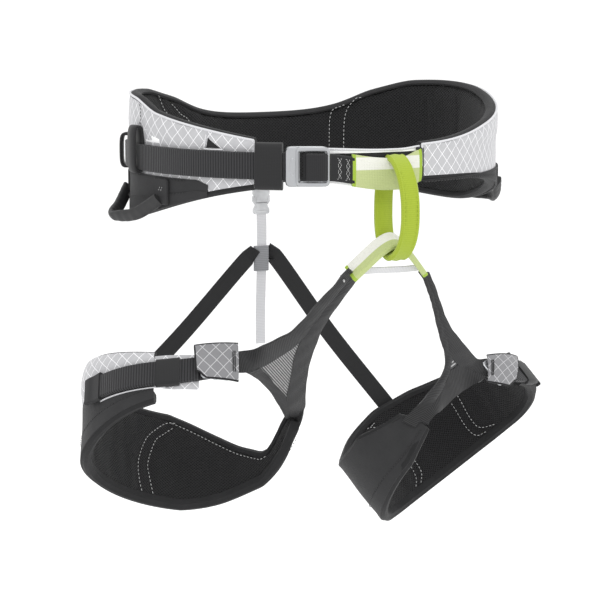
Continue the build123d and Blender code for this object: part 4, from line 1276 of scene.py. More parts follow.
@dataclass(frozen=True)
class WaistWebbing:
    """The load webbing, its buckle, keeper, tie-in sleeve, clip slots and gear loops."""

    finish: Palette
    width: float = 21.0
    thick: float = 2.2
    buckle: tuple = (-33.0, -20.5)
    tail_end: float = -98.0
    keeper: tuple = (-41.5, -33.8)
    sleeve: tuple = (-13.5, 8.7)
    loop_width: float = 11.0
    loop_thick: float = 5.0

    def build(self) -> None:
        """Build every piece."""
        self.webbing()
        self.tie_in()
        self.alloy_buckle()
        self.elastic_keeper()
        self.clip_slots()
        for name, sign in (("left", 1), ("right", -1)):
            self.gear_loop(name, sign)
        self.gear_tabs()

    def webbing(self) -> None:
        """The ribbed tail over the webbing, the folded end by the buckle and the wing's strap."""
        ribbed = Mesher()
        ribbed.skin(BELT.stations(self.tail_end - 4, self.buckle[0] + 2.2, 3.0),
                    flat(self.width, self.thick + 2.4, 0.3))
        ribbed.place("waist_webbing_ribbed", self.finish.ribbed, "waist_belt",
                     ("waist_webbing", "waist_webbing_tail"), "webbing")
        plain = Mesher()
        fold = flat(self.width, 2.6, 0.0)
        plain.skin(BELT.stations(self.buckle[1] - 6.4, -17.6, 1.5),
                   sagged(lambda p: [(a, b + 1.8 + 4.6 * smooth((-19.4 - p.turn) / 3.0))
                                     for a, b in fold(p)]))
        plain.skin(BELT.stations(self.buckle[1] - 1.6, self.sleeve[0] + 0.6, 1.5),
                   sagged(flat(self.width, 3.4, 0.4)))
        plain.skin(BELT.stations(self.sleeve[1] - 1.0, 10.0, 1.0), flat(self.width + 4, 2.6, -1.2))
        plain.place("waist_webbing_fold", self.finish.plain, "waist_belt", ("webbing_fold",),
                    "webbing")

    def tie_in(self) -> None:
        """The striped sleeve and the dark backing with its white upper edge."""
        finish = StripedSleeve("tie_in_sleeve_woven", "B4BE84", tilt=1.8,
                               length=BELT.length_to(self.sleeve[1])
                               - BELT.length_to(self.sleeve[0])).make()
        shift = BELT.length_to(self.sleeve[0])
        places = [Station(p.origin, p.across, p.out, p.s - shift, p.turn)
                  for p in BELT.stations(*self.sleeve, 2.0)]
        half, count = 12.5, 8
        outer = [(half - 2 * half * k / count,
                  3.4 + 0.7 * math.sin(math.pi * k / count) - (0.7 if k in (0, count) else 0.0))
                 for k in range(count + 1)]
        section = [(-half, -0.2), (-half + 0.8, -0.9), (half - 0.8, -0.9), (half, -0.2)] + outer
        sleeve = Mesher().skin(places, sagged(lambda p: section))
        sleeve.place("tie_in_sleeve_woven", finish, "waist_belt", ("tie_in_sleeve",),
                     "striped_sleeve")
        back = Mesher().skin(BELT.stations(self.sleeve[0] - 7, BELT_START - 0.2, 2.0),
                             lambda p: [(a + (0.75 if a < 0 else 0.25) * sag(p.turn), b)
                                        for a, b in flat(26.4, 2.2, -3.4, -0.4)(p)])
        back.place("tie_in_backing_webbing", self.finish.edged, "waist_belt", ("tie_in_backing",),
                   "webbing")
        line = Mesher()
        places = BELT.stations(self.sleeve[0] - 16, BELT_START - 0.4, 2.0)
        line.skin(path_stations([BELT.point(p.turn, -1.6, 13.2 + 0.25 * sag(p.turn))
                                 for p in places], lambda i: UP), tube(1.0, 8))
        line.place("tie_in_backing_edge", self.finish.white, "waist_belt")

    def alloy_buckle(self) -> None:
        """The slotted plate with its oval recess, and the sliding bar frame."""
        start, end = self.buckle
        middle = (start + end) / 2
        place = BELT.station(middle)
        half = (BELT.point(end) - BELT.point(start)).length / 2
        frame_mesh = Mesher()
        bars = self.rounded(half, 15.6, 4.5)
        self.open_plate(frame_mesh, place, bars, (-half + 11.0, half - 2.6, 11.6), 0.4, 3.2)
        plate = self.rounded(5.6, 15.6, 3.4, -half + 5.4)
        frame_mesh.prism(place, plate, 2.2, 5.4, 1.2)
        frame_mesh.skin(path_stations([place.origin
                                       + place.along * (-half + 5.4 + 2.3 * math.cos(t))
                                       + place.across * (6.5 * math.sin(t)) + place.out * 5.3
                                       for t in full_turn(28)], lambda i: place.out, True),
                        tube(0.42, 6), True)
        frame_mesh.place("waist_buckle_plate", self.finish.alloy, "waist_belt",
                         ("waist_buckle_frame",), "alloy", sharp=35)
        slider = Mesher()
        where = BELT.station(middle + 1.2)
        arms = self.rounded(half * 0.8, 15.2, 3.4, 1.2)
        self.open_plate(slider, where, arms, (-half * 0.8 + 3.4, half * 0.8 - 1.0, 12.0), 3.7, 5.9)
        slider.place("waist_buckle_slider", self.finish.alloy, "waist_slider",
                     ("waist_buckle_slider",), "alloy", sharp=35)
        web = Mesher().skin(BELT.stations(start + 5.2, end - 3.0, 2.0), flat(20.8, 2.4, 1.2))
        web.place("waist_webbing_in_buckle", self.finish.plain, "waist_belt")

    @staticmethod
    def rounded(half_long: float, half_high: float, radius: float, shift: float = 0.0) -> list:
        """A rounded rectangle's outline."""
        points = []
        for cx, cy, turn in ((1, 1, 0), (-1, 1, 90), (-1, -1, 180), (1, -1, 270)):
            for k in range(5):
                t = math.radians(turn + 22.5 * k)
                points.append((shift + cx * (half_long - radius) + radius * math.cos(t),
                               cy * (half_high - radius) + radius * math.sin(t)))
        return points

    @staticmethod
    def open_plate(mesher: Mesher, place: Station, outline: Sequence[tuple], window: tuple,
                   low: float, high: float) -> None:
        """A frame: the band between an outline and a window (left, right, half height)."""
        left, right, half_high = window
        inner = WaistWebbing.rounded((right - left) / 2, half_high, 1.5, (left + right) / 2)
        along = place.along
        bevel = 0.6
        ring = []
        for (ox, oy), (ix, iy) in zip(outline, inner):
            run = Vector((ox - ix, oy - iy)).normalized() * bevel
            o, i = Vector((ox, oy)), Vector((ix, iy))
            section = [(i, low + bevel), (i + run, low), (o - run, low), (o, low + bevel),
                       (o, high - bevel), (o - run, high), (i + run, high), (i, high - bevel)]
            ring.append([place.origin + along * p.x + place.across * p.y + place.out * level
                         for p, level in section])
        base, total = len(mesher.verts), len(ring)
        for section in ring:
            mesher.verts += section
        for r in range(total):
            n = (r + 1) % total
            for k in range(8):
                m = (k + 1) % 8
                mesher.faces.append((base + r * 8 + k, base + r * 8 + m, base + n * 8 + m,
                                     base + n * 8 + k))
                mesher.uvs.append([(r, k), (r, k + 1), (r + 1, k + 1), (r + 1, k)])
                mesher.slots.append(0)

    def elastic_keeper(self) -> None:
        """The wide dark elastic keeper round both layers of webbing."""
        mesher = Mesher()
        half, inner, outer = 18.2, -1.2, 6.6

        def section(place: Station) -> list:
            swell = 0.5 * math.sin(math.pi * (place.turn - self.keeper[0])
                                   / (self.keeper[1] - self.keeper[0]))
            return [(-half, inner + 1), (-half + 1.4, inner - 0.4), (0, inner - 0.6),
                    (half - 1.4, inner - 0.4), (half, inner + 1), (half + 0.4, 3.0),
                    (half - 0.9, outer - 1.0), (half - 3.6, outer + swell), (4, outer + swell),
                    (-4, outer + swell), (-half + 3.6, outer + swell), (-half + 0.9, outer - 1.0),
                    (-half - 0.4, 3.0)]

        mesher.skin(BELT.stations(*self.keeper, 2.0), section)
        mesher.place("waist_elastic_keeper", self.finish.elastic, "keeper_waist", ("waist_keeper",),
                     "elastic", sharp=50)

    def clip_slots(self) -> None:
        """The two elastic clip-slot loops over the webbing."""
        for name, angle, width, top, low, reach in (("front", -87.0, 12.5, 26.0, -13.5, 9.2),
                                                    ("rear", -109.0, 8.0, 15.0, -15.0, 10.2)):
            place = BELT.station(angle)
            turns = full_turn(40)
            middle, half = (top + low) / 2, (top - low) / 2
            path = []
            for t in turns:
                c, s = math.cos(t), math.sin(t)
                round_c = bulge(c, 0.6)
                path.append(place.origin
                            + place.out * (reach / 2 + 1.0 + (reach / 2 - 0.8) * round_c)
                            + place.across * (middle + (half - 1.6) * bulge(s, 0.55)))
            along = place.along
            mesher = Mesher().skin(path_stations(path, lambda i: along, True),
                                   flat(width, 2.4, -1.2), True)
            mesher.place(f"clip_slot_{name}_loop", self.finish.elastic, "waist_belt",
                         (f"clip_slot_{name}",), "elastic", sharp=50)

    def gear_loop(self, name: str, sign: int) -> None:
        """A ridged moulded band in a pointed oval."""
        stand = 5.6
        ends = [BELT.point(a * sign, stand, -31.0) for a in GEAR_ENDS]
        crown = BELT.point(92.5 * sign, stand + 13.0, -48.0)
        down = Vector((0, 0, -1))
        middle_out = BELT.station(92.5 * sign).out
        path = curve_through([ends[0], ends[0].lerp(crown, 0.42) + down * 6 + middle_out * 3,
                              crown + (ends[0] - ends[1]) * 0.06,
                              crown - (ends[0] - ends[1]) * 0.06,
                              ends[1].lerp(crown, 0.42) + down * 6 + middle_out * 3, ends[1]], 60)
        places = path_stations(path, lambda i: UP + middle_out * 0.7)
        length = places[-1].s

        def section(place: Station) -> list:
            ridge = 0.25 * math.sin(place.s * 2 * math.pi / 2.6)
            taper = 1.0 - 0.25 * math.exp(-((place.s - length / 2) / 9) ** 2)
            half, deep = self.loop_width / 2 * taper, self.loop_thick / 2
            return [(half * math.cos(t), (deep + ridge) * bulge(math.sin(t), 0.7))
                    for t in full_turn(12)]

        mesher = Mesher().skin(places, section)
        mesher.place(f"gear_loop_{name}_cover", self.finish.cover, f"{name}_gear_loop",
                     (f"gear_loop_{name}",), "gear_loop_cover", sharp=50)

    def gear_tabs(self) -> None:
        """The sewn tabs that hold the gear loops' ends."""
        mesher = Mesher()
        for sign in (1, -1):
            for angle, long in zip(GEAR_ENDS, (8.6, 6.4)):
                place = BELT.station(angle * sign)
                mesher.prism(place, [(x, y - 25.0) for x, y in self.rounded(long, 10.5, 2.5)], 1.6,
                             4.4, 0.9)
        mesher.place("gear_loop_sewn_tabs", self.finish.softshell, "waist_belt",
                     ("gear_loop_tabs",), "webbing")

    def bartacks(self) -> list:
        """White zigzags on the folded webbing and the gear tabs."""
        rows = [zigzag(BELT, a, -8.0 + sag(a), 8.0 + sag(a), 4.4, 0.5, 20) for a in (-17.3, -14.9)]
        for x in (-1.4, 1.4):
            place = BELT.station(-75.0)
            along = place.along
            rows.append([place.origin + along * x + place.across * (-23.6) + place.out * 4.6,
                         place.origin + along * (x + 1.2) + place.across * (-21.8)
                         + place.out * 4.6])
        return rows


# ---- belay loop and lower tie-in -------------------------------------------------------------
STRAP_Y = -151.4


@dataclass(frozen=True)
class BelayLoop:
    """The sewn belay loop of two green layers."""

    finish: Palette
    width: float = 15.0
    thick: float = 5.2
    half_depth: float = 20.1
    top: float = 5.4
    low: float = -72.6
    bow: float = 6.0

    def build(self) -> None:
        """Build the loop with its rolled edges."""
        path = []
        middle, half = (self.top + self.low) / 2, (self.top - self.low) / 2
        for k in range(96):
            t = 2 * math.pi * k / 96
            s, c = math.sin(t), math.cos(t)
            depth = self.half_depth + (self.bow * abs(c) if c < 0 else 0.0)
            path.append(Vector((0.5 * math.sin(2 * t), STRAP_Y + depth * c,
                                middle + half * bulge(s, 0.85))))
        places = path_stations(path, lambda i: Vector((1, 0, 0)), True)
        half_w, deep = self.width / 2, self.thick / 2
        points = [(-half_w, -deep + 1.2), (-half_w + 1.2, -deep), (0, -deep - 0.2),
                  (half_w - 1.2, -deep), (half_w, -deep + 1.2), (half_w, deep - 1.4),
                  (half_w - 1.3, deep), (half_w - 3.0, deep - 0.5), (0, deep + 0.3),
                  (-half_w + 3.0, deep - 0.5), (-half_w + 1.3, deep), (-half_w, deep - 1.4)]
        loop = Mesher().skin(places, lambda p: points, True)
        loop.place("belay_loop_webbing", self.finish.green, "belay_loop",
                   ("belay_loop_inner", "belay_loop_outer"), "green_webbing", sharp=55)

    def rows(self) -> list:
        """Green rows of thread down both edges of the strands."""
        rows = []
        for side in (-1, 1):
            for x in (-5.0, 5.0):
                middle, half = (self.top + self.low) / 2, (self.top - self.low) / 2
                turns = [math.pi * (k - 7) / 26 for k in range(15)]
                reach = self.half_depth + (self.bow if side < 0 else 0.0)
                rows.append([Vector((x, STRAP_Y + side * (reach * math.cos(t) + self.thick / 2),
                                     middle + half * math.sin(t))) for t in turns])
        return rows


@dataclass(frozen=True)
class LowerTieIn:
    """The arch of sleeved webbing below the belay loop, with its spacer strap."""

    finish: Palette
    radius: float = 30.0
    width: float = 18.0
    tilt: float = 28.0
    crown: float = -59.0

    def axes(self) -> tuple:
        """The arch's across direction (its plane's normal) and its up direction."""
        turn = math.radians(self.tilt)
        return Vector((0, -math.cos(turn), -math.sin(turn))), Vector((0, -math.sin(turn),
                                                                      math.cos(turn)))

    def spot(self, along: float, down: float) -> Vector:
        """A point in the arch's middle plane."""
        return Vector((along, STRAP_Y, self.crown)) - self.axes()[1] * down

    def build(self) -> None:
        """Build the sleeve and the strap."""
        normal, up = self.axes()
        knots = ((-31.5, 31.0), (-23.0, 20.0), (-12.0, 6.5), (-2.5, 0.6), (6.5, 4.5), (20.0, 18.0),
                 (31.5, 31.0))
        path = curve_through([self.spot(along, down) for along, down in knots], 60)
        places = path_stations(path, lambda i: normal)
        length = places[-1].s
        finish = StripedSleeve("lower_sleeve_woven", "B0BC7C", length=length, half_middle=5.2,
                               tilt=-3.8, bar_length=2.8).make()
        sleeve = Mesher().skin(places, flat(self.width, 4.6, -2.3, soften=0.5))
        sleeve.place("lower_tie_in_woven_sleeve", finish, "leg_bridge",
                     ("lower_tie_in_sleeve", "lower_tie_in_webbing"), "striped_sleeve")
        strap = Mesher()
        ends = [self.spot(x, self.radius - 2.0 + 0.6 * math.sin(x)) + normal * 1.0
                for x in (-self.radius + 1, -15, 0, 15, self.radius - 1)]
        strap.skin(path_stations(curve_through(ends, 24), lambda i: up), flat(6.0, 1.1, -0.5))
        strap.place("spacer_strap_webbing", self.finish.white, "leg_bridge", ("spacer_strap",),
                    "white_webbing")


# ---- leg loops -------------------------------------------------------------------------------
# The cut panels of each forked riser: pairs of edge lines, in millimetres, from the arch downwards.
RISER_SHAPES = {"left": {"window": ((81.8, -95.9, -167.8), (90.4, -91.4, -175.2),
                                    (82, -91.4, -179.9)),
                         "upper": (((38.9, -134.4, -88.8), (45.9, -129.4, -98.2),
                                    (52.5, -124.2, -108.5), (60.8, -117.4, -122),
                                    (68.4, -111.6, -133.3), (76.2, -106.5, -142.4),
                                    (84.3, -102, -150), (98.7, -93.2, -162.5), (116, -77.7, -174.8),
                                    (126.5, -76.1, -175.9), (137.8, -73.1, -176)),
                                   ((33.4, -135.8, -88.2), (40.7, -130.7, -97.7),
                                    (47.4, -125.5, -108), (55.5, -118.7, -121.5),
                                    (62.7, -112.4, -134.4), (68.8, -107.3, -144.7),
                                    (75.2, -101.7, -156), (81.8, -95.9, -167.8),
                                    (90.5, -91.3, -175.2), (108.5, -84.5, -183.7),
                                    (128, -87.3, -192.8)),),
                         "inner": (((28.6, -137, -87.8), (36.3, -132.1, -96.4),
                                    (42, -127.6, -105.5), (49.6, -121.2, -118.2),
                                    (58.6, -112.5, -136.5), (67, -104.8, -152.4),
                                    (73.2, -99.6, -162.8), (76.3, -94.8, -173.9),
                                    (75.3, -91.8, -182.7), (69.8, -89.9, -191),
                                    (63.4, -88.1, -199.2), (59.6, -79.7, -208.8),
                                    (51.9, -75.6, -217.7), (47.5, -74.4, -222.2)),
                                   ((33.4, -135.8, -88.2), (40.7, -130.7, -97.7),
                                    (47.4, -125.5, -108), (55.5, -118.7, -121.5),
                                    (64.4, -111, -137.2), (75.2, -101.7, -156),
                                    (81.8, -95.9, -167.8), (82, -93, -175.5), (82, -91.4, -179.9),
                                    (80.7, -88.7, -187.9), (75.5, -84.7, -201.6),
                                    (68.7, -83.6, -210.5), (60.2, -82.2, -221.9),
                                    (56.5, -80.5, -226.9)),),
                         "base": (((117.8, -86.6, -188.3), (108.5, -84.5, -183.7),
                                   (90.5, -91.3, -175.2), (86.8, -91.1, -177.9),
                                   (82, -91.4, -179.9), (80.7, -88.7, -187.9),
                                   (75.5, -84.7, -201.6), (64.4, -83, -214.5),
                                   (60.2, -82.2, -221.9)),
                                  ((116.9, -88.3, -190), (111.9, -88.8, -192.1),
                                   (107.6, -83.1, -195.7), (103.8, -79.7, -199),
                                   (98, -79.8, -201.9), (90.7, -79.4, -207.3),
                                   (83.7, -78.6, -213.6), (71.3, -85.8, -217.9),
                                   (65.6, -86.3, -224.5)),),},
                "right": {"window": ((-48.7, -81.8, -146.2), (-76.6, -63.2, -169.2),
                                     (-34.8, -24.4, -204.1)),
                          "upper": (((-35.8, -143.3, -80.4), (-39, -139.3, -85.1),
                                     (-42.2, -129, -96.2), (-50.2, -115.8, -111.1),
                                     (-55.3, -102.5, -125.5), (-62.2, -92.8, -136.6),
                                     (-70.2, -89.1, -141.4), (-81.6, -85.4, -146.8),
                                     (-88.3, -70.8, -152.7), (-99.7, -70.9, -153.5),
                                     (-109.7, -72.1, -152.1)),
                                    ((-29, -138.4, -84.7), (-31.4, -134.6, -89),
                                     (-33.9, -124.6, -99.7), (-40, -109.9, -115.8),
                                     (-44.8, -95.1, -131.8), (-48.7, -81.8, -146.2),
                                     (-56.4, -74.3, -155), (-65.2, -68.5, -162.3),
                                     (-78.8, -68.2, -168.2), (-96, -80.3, -168.9),
                                     (-112.7, -78.8, -167.4)),),
                          "inner": (((-29, -138.4, -84.7), (-31.4, -134.6, -89),
                                     (-33.9, -124.6, -99.7), (-40, -109.9, -115.8),
                                     (-44.8, -95.1, -131.8), (-48.7, -81.8, -146.2),
                                     (-46.7, -65, -163.5), (-41.3, -47.5, -181),
                                     (-37.3, -32.9, -195.6), (-34.8, -24.4, -204.1),
                                     (-28.1, -11.8, -216.3), (-13.5, 18.9, -235),
                                     (-16.2, 17.1, -242.7)),
                                    ((-22.4, -133.9, -88.4), (-23.9, -129.9, -92.9),
                                     (-26.3, -120.7, -102.8), (-30.8, -104.7, -120),
                                     (-33.2, -89.2, -136.4), (-31.5, -72.6, -153.5),
                                     (-29.5, -58.9, -167.5), (-24.9, -43.4, -183),
                                     (-18.9, -27.3, -199), (-13.4, -15, -209.3),
                                     (-8.4, -3.4, -219.6), (-11.2, -0.4, -232.8),
                                     (-13.8, 2, -240.9)),),
                          "base": (((-78.8, -68.2, -168.2), (-67, -54.7, -176.8),
                                    (-56.1, -44.4, -186.1), (-45.3, -34.4, -195.1),
                                    (-34.8, -24.4, -204.1), (-28.1, -11.8, -216.3),
                                    (-13.5, 18.9, -235)),
                                   ((-96, -80.3, -168.9), (-80.6, -63.2, -176.7),
                                    (-64, -43.9, -187.6), (-52.7, -32.9, -197.7),
                                    (-40, -18.8, -210.6), (-30.2, -7.3, -221.3),
                                    (-13.5, 18.9, -235)),),},}


@dataclass(frozen=True)
class LegFit:
    """Where one leg loop hangs, how far it is let out and where its quilting runs."""

    name: str
    track: Track
    elastic_at: float
    end: float
    crotch_low: float
    lifts: Line
    flap_corners: tuple
    buckle: tuple
    keeper: tuple
    quilting: tuple
    edge_row: tuple
    top_line: Line
    low_line: Line

    @staticmethod
    def share(crotch: float, wide: float, u: float) -> float:
        """How much of an edge's full height shows at a distance from the crotch side."""
        step = (1.3 - crotch) / 4
        return Line(((-wide - 30, crotch), (-wide, crotch), (-0.6 * wide, crotch + 2 * step),
                     (-0.2 * wide, crotch + 3 * step), (0.3 * wide, 1.3 - step / 4),
                     (wide + 30, 1.3))).at(u)

    def heights(self, place: Station) -> tuple:
        """The pad's lower and upper edges at a place."""
        deep, wide = self.track.front, self.track.half_width
        u, v = self.track.local(place.turn)
        spots = (-deep - 30, -0.94 * deep, 0, 0.45 * deep, deep, deep + 30)
        top = Line(tuple(zip(spots, (17, 17, 36, 42, 42, 42)))).at(v)
        low = Line(tuple(zip(spots, (-15, -15, -36, -42, -42, -42)))).at(v)
        low = max(low, -12 - 30 * self.share(self.crotch_low, wide, u),
                  self.low_line.at(place.turn))
        if self.track.side > 0 or place.turn < 190:
            top = min(top, 19 + 23 * self.share(0.1, wide, u))
        return low, min(top, self.top_line.at(place.turn))


LEFT_TRACK = Track(88.0, 86.0, 86.0, 80.0, Vector((110.5, -12.5, -239.5)),
                   Vector((-0.46, 0.469, 0.754)), 1)
RIGHT_TRACK = Track(95.0, 86.0, 86.0, 80.0, Vector((-109.0, -9.0, -222.0)),
                    Vector((0.254, 0.546, 0.799)), -1)
LEGS = (LegFit("left", LEFT_TRACK, 180.0, 338.0, 1.3,
               Line(((14, 7), (24, 3), (34, -3), (45, -11), (60, -17), (84, -20))),
               ((20, -5), (31, 13), (32, -22), (55, -2)), (25.0, 39.0), (50.0, 60.0),
               (((140, 20), (140.5, 5), (143, -15), (142, -27), (133, -33)),
                ((147, 18), (147, 3), (149, -20), (147, -31), (141, -33.5)),
                ((203, 35), (199, 31), (194, 19), (190.5, -8), (191, -25), (196, -33)),
                ((198, 6), (195, -14), (197, -27), (201, -33))), ((197, 199),),
               Line(((50, 2), (80, 2), (100, 9), (120, 18), (144, 29), (154, 33), (164, 37),
                     (178, 40), (190, 42), (318, 42), (326, 26), (333, 13), (338, 1))),
               Line(((50, -42), (266, -42), (278, -39), (300, -30), (320, -17), (338, -5)))),
        LegFit("right", RIGHT_TRACK, 160.0, 272.0, 0.3,
               Line(((0, 13), (8, 11.5), (18, 8.5), (30, 4), (45, 1.5), (84, 2.5))),
               ((7.5, -4), (8, 29), (28, -5), (29.5, 23)), (11.0, 27.0), (37.0, 48.5),
               (((193, 35), (188, 33), (181.5, 26), (174, 14), (169, -8), (170, -24), (172, -33.5)),
                ((191.5, 28.5), (186, 22), (180.5, 14), (176, -7), (177, -18), (180, -33.5))),
               ((192, 250),),
               Line(((190, 42), (201, 37), (209, 32), (221, 23), (232, 14), (240, 9), (247, 5),
                     (252, 8), (258, 18), (263, 27), (272, 36))),
               Line(((215, -42), (228, -37), (243, -27), (254, -15), (262, -3), (266, 5),
                     (272, 14)))),)


@dataclass(frozen=True)
class LegLoop:
    """One padded leg loop: pad, shell, bindings, webbing, buckle flap and forked riser."""

    finish: Palette
    fit: LegFit
    bridge: LowerTieIn
    start: float = 50.0
    thick: float = 7.4
    web_width: float = 20.0
    band_top: float = 6.0
    ripstop_end: float = 150.0

    def pad(self) -> Pad:
        """The pad's form."""
        return Pad(self.fit.track, lambda p: self.fit.heights(p)[0],
                   lambda p: self.fit.heights(p)[1], self.start, self.fit.end, self.thick,
                   self.fit.quilting)

    def nodes(self, *kinds: str) -> tuple:
        """CAD node names on this side."""
        return tuple(f"{self.fit.name}_{kind}" for kind in kinds)

    def lifted(self, section: Section) -> Section:
        """The same section, raised to the webbing's own line."""
        return lambda place: [(a + self.fit.lifts.at(place.turn), b) for a, b in section(place)]

    def build(self) -> None:
        """Build every piece."""
        self.padding()
        self.webbing()
        self.hardware()
        self.flap()
        self.riser()

    def padding(self) -> None:
        """The quilted pad, its ripstop and softshell outside and its bindings."""
        side, pad, track, end = self.fit.name, self.pad(), self.fit.track, self.fit.end
        body = f"{side}_leg"
        core = pad.core(f"{side}_leg_pad", self.finish.lining, PAD_VOXEL, -1.2, 1.0)
        settle(core, body, self.nodes("pad_lining", "pad_foam"))
        heights = self.fit.heights
        shell = Mesher()
        pad.shell(shell, track.stations(self.start + 0.2, self.ripstop_end, 3.0),
                  lambda p: self.band_top - 1.5, lambda p: heights(p)[1] - 0.5, self.rise, 1.1,
                  count=12)
        low_front, high_front = self.fit.lifts.at(34) - 15.0, self.fit.lifts.at(34) + 15.0
        if side == "right":
            pad.shell(shell, track.stations(27.0, self.start + 4, 3.0),
                      lambda p: low_front + 2.5 * smooth((p.turn - 40) / 10), lambda p: high_front,
                      lambda p, h: 0.15, 1.2, count=6)
        shell.place(f"{side}_leg_ripstop_shell", self.finish.shell, body, self.nodes("pad_shell"),
                    "ripstop_shell", sharp=60)
        band = Mesher()
        pad.shell(band, track.stations(self.start + 0.1, self.ripstop_end, 3.0),
                  lambda p: heights(p)[0] + 1.0, lambda p: self.band_top,
                  lambda p, h: 0.75 + 0.3 * math.sin(p.s / 27 + h / 8), 1.2, count=8)
        pad.shell(band, track.stations(self.ripstop_end - 0.5, end - 0.1, 3.0),
                  lambda p: heights(p)[0] + 1.0, lambda p: heights(p)[1] - 1.0,
                  lambda p, h: 0.7 + 0.35 * math.sin(p.s / 25 + h / 8) + 0.2 * math.sin(p.s / 9),
                  1.2, count=10)
        band.place(f"{side}_leg_lower_band", self.finish.softshell, body, self.nodes("pad_band"),
                   "softshell", sharp=60)
        rims = Mesher()
        places = track.stations(self.start, end, 4.0)
        pad.rim(rims, True, places, 5.4, 1.4)
        pad.rim(rims, False, places, 7.4, 1.6)
        rims.place(f"{side}_leg_bindings", self.finish.rim, body,
                   self.nodes("pad_binding_top", "pad_binding_bottom"), "softshell")
        if side == "left":
            return
        path = [track.point(p.turn, 0.7, self.fit.lifts.at(p.turn) - 11.4)
                for p in track.stations(44.0, 82.0, 3.0)]
        edge = Mesher().skin(path_stations(path, lambda i: track.axes()[2]), tube(0.7, 6))
        edge.place(f"{side}_leg_white_edge", self.finish.white, body)

    def rise(self, place: Station, height: float) -> float:
        """How far the shell puffs off the outline above the webbing."""
        top = self.fit.heights(place)[1]
        bottom = self.fit.lifts.at(place.turn) + self.web_width / 2 if place.turn < 86 else 6.0
        share = (height - bottom) / max(top - bottom, 1.0)
        if share <= 0:
            return 0.15
        swell = 3.0 * math.sin(math.pi * min(1.0, share)) ** 0.8 * min(1.0, (top - bottom) / 18)
        return 0.15 + swell * (1 + 0.2 * math.sin(place.s / 11))

    def webbing(self) -> None:
        """The double webbing and its turned tail."""
        side, track = self.fit.name, self.fit.track
        body, web_start = f"{side}_leg", self.fit.buckle[0] - 2.0
        ribbed = Mesher()
        ribbed.skin(track.stations(self.fit.buckle[1] + 0.5, 84.5, 3.0),
                    self.lifted(flat(self.web_width, 4.6, 0.3)))
        ribbed.skin(track.stations(web_start, self.fit.buckle[1] + 2, 3.0),
                    self.lifted(flat(self.web_width, 2.4, 0.3)))
        ribbed.place(f"{side}_leg_ribbed_webbing", self.finish.ribbed, body, self.nodes("webbing"),
                     "webbing")
        lift = self.fit.lifts.at(84)
        along_end = (track.point(85.5) - track.point(84.5)).normalized()
        path = [track.point(80.0, 3.6, lift), track.point(84.5, 3.9, lift),
                track.point(84.5, 5.2, lift) + along_end * 5,
                track.point(84.5, 5.6, lift) + along_end * 9.5]
        places = path_stations(curve_through(path, 12), lambda i: track.axes()[2])
        stop = Mesher().skin(places, lambda p: [(a * (1.08 - 0.1 * (p.s / 20)), b)
                                                for a, b in flat(self.web_width + 2.4, 4.4,
                                                                 -2.2)(p)])
        stop.place(f"{side}_leg_tail_stop", self.finish.plain, body, self.nodes("tail_stop"),
                   "webbing")

    def hardware(self) -> None:
        """The elastic keeper and the buckle under the flap."""
        side, track = self.fit.name, self.fit.track
        half, outer = self.web_width / 2 + 1.6, 6.2
        points = [(-half, 0.2), (half, 0.2), (half + 0.5, 2.6), (half - 0.8, outer - 0.7),
                  (half - 3, outer), (0, outer + 0.4), (-half + 3, outer),
                  (-half + 0.8, outer - 0.7), (-half - 0.5, 2.6)]
        keeper = Mesher().skin(track.stations(*self.fit.keeper, 2.5), self.lifted(lambda p: points))
        keeper.place(f"{side}_leg_keeper_band", self.finish.elastic, f"{side}_leg_keeper",
                     self.nodes("keeper"), "elastic", sharp=50)
        buckle = Mesher()
        middle = sum(self.fit.buckle) / 2
        place = track.station(middle)
        raised = Station(place.origin + place.across * self.fit.lifts.at(middle), place.across,
                         place.out, place.s)
        half = (track.point(self.fit.buckle[1]) - track.point(self.fit.buckle[0])).length / 2
        WaistWebbing.open_plate(buckle, raised, WaistWebbing.rounded(half, 12.2, 3.0),
                                (-half + 4, half - 4, 9.6), 3.3, 5.5)
        buckle.prism(raised, WaistWebbing.rounded(1.8, 12.6, 0.8), 3.5, 5.3, 0.4)
        buckle.place(f"{side}_leg_buckle_plate", self.finish.alloy, f"{side}_leg",
                     self.nodes("buckle"), "alloy", sharp=35)

    def flap(self) -> None:
        """The grey buckle flap with its dark bound edge and bartack."""
        side, track = self.fit.name, self.fit.track
        (a0, h0), (a1, h1), (a2, h2), (a3, h3) = self.fit.flap_corners

        def spot(u: float, v: float, rise: float) -> Vector:
            """A point on the flap, from its hinged end and its lower edge."""
            corner = 0.22 * smooth((u - 0.75) / 0.25) * (1 - v) ** 3
            v = v * (1 - corner) + corner
            turn = (a0 * (1 - v) + a1 * v) * (1 - u) + (a2 * (1 - v) + a3 * v) * u
            height = (h0 * (1 - v) + h1 * v) * (1 - u) + (h2 * (1 - v) + h3 * v) * u
            return track.point(turn, rise + 0.8 * math.sin(math.pi * u)
                               + 0.7 * math.sin(math.pi * v), height)

        steps, lifted = [k / 14 for k in range(15)], 7.0
        cloth = Mesher().sheet([[spot(u, v, lifted) for v in steps] for u in steps], 1.5)
        cloth.place(f"{side}_buckle_flap_cloth", self.finish.flap, f"{side}_flap",
                    self.nodes("buckle_flap"), "ripstop_shell", sharp=60)
        ring = [spot(u, 0, lifted) for u in steps] + [spot(1, v, lifted) for v in steps[1:]]
        ring += [spot(u, 1, lifted) for u in reversed(steps[:-1])]
        out = track.station((a0 + a3) / 2).out
        bound = Mesher().skin(path_stations(ring, lambda i: out), tube(0.95, 8))
        bound.place(f"{side}_buckle_flap_binding", self.finish.rim, f"{side}_flap")
        rows = Mesher()
        for shift in (0.09, 0.14):
            line = [spot(shift + (0.012 if k % 2 else -0.012), 0.22 + 0.56 * k / 27, 8.2)
                    for k in range(28)]
            rows.skin(path_stations(line, lambda i: out), tube(0.35, 5))
        rows.place(f"{side}_buckle_flap_bartack", self.finish.dark_thread, f"{side}_flap")

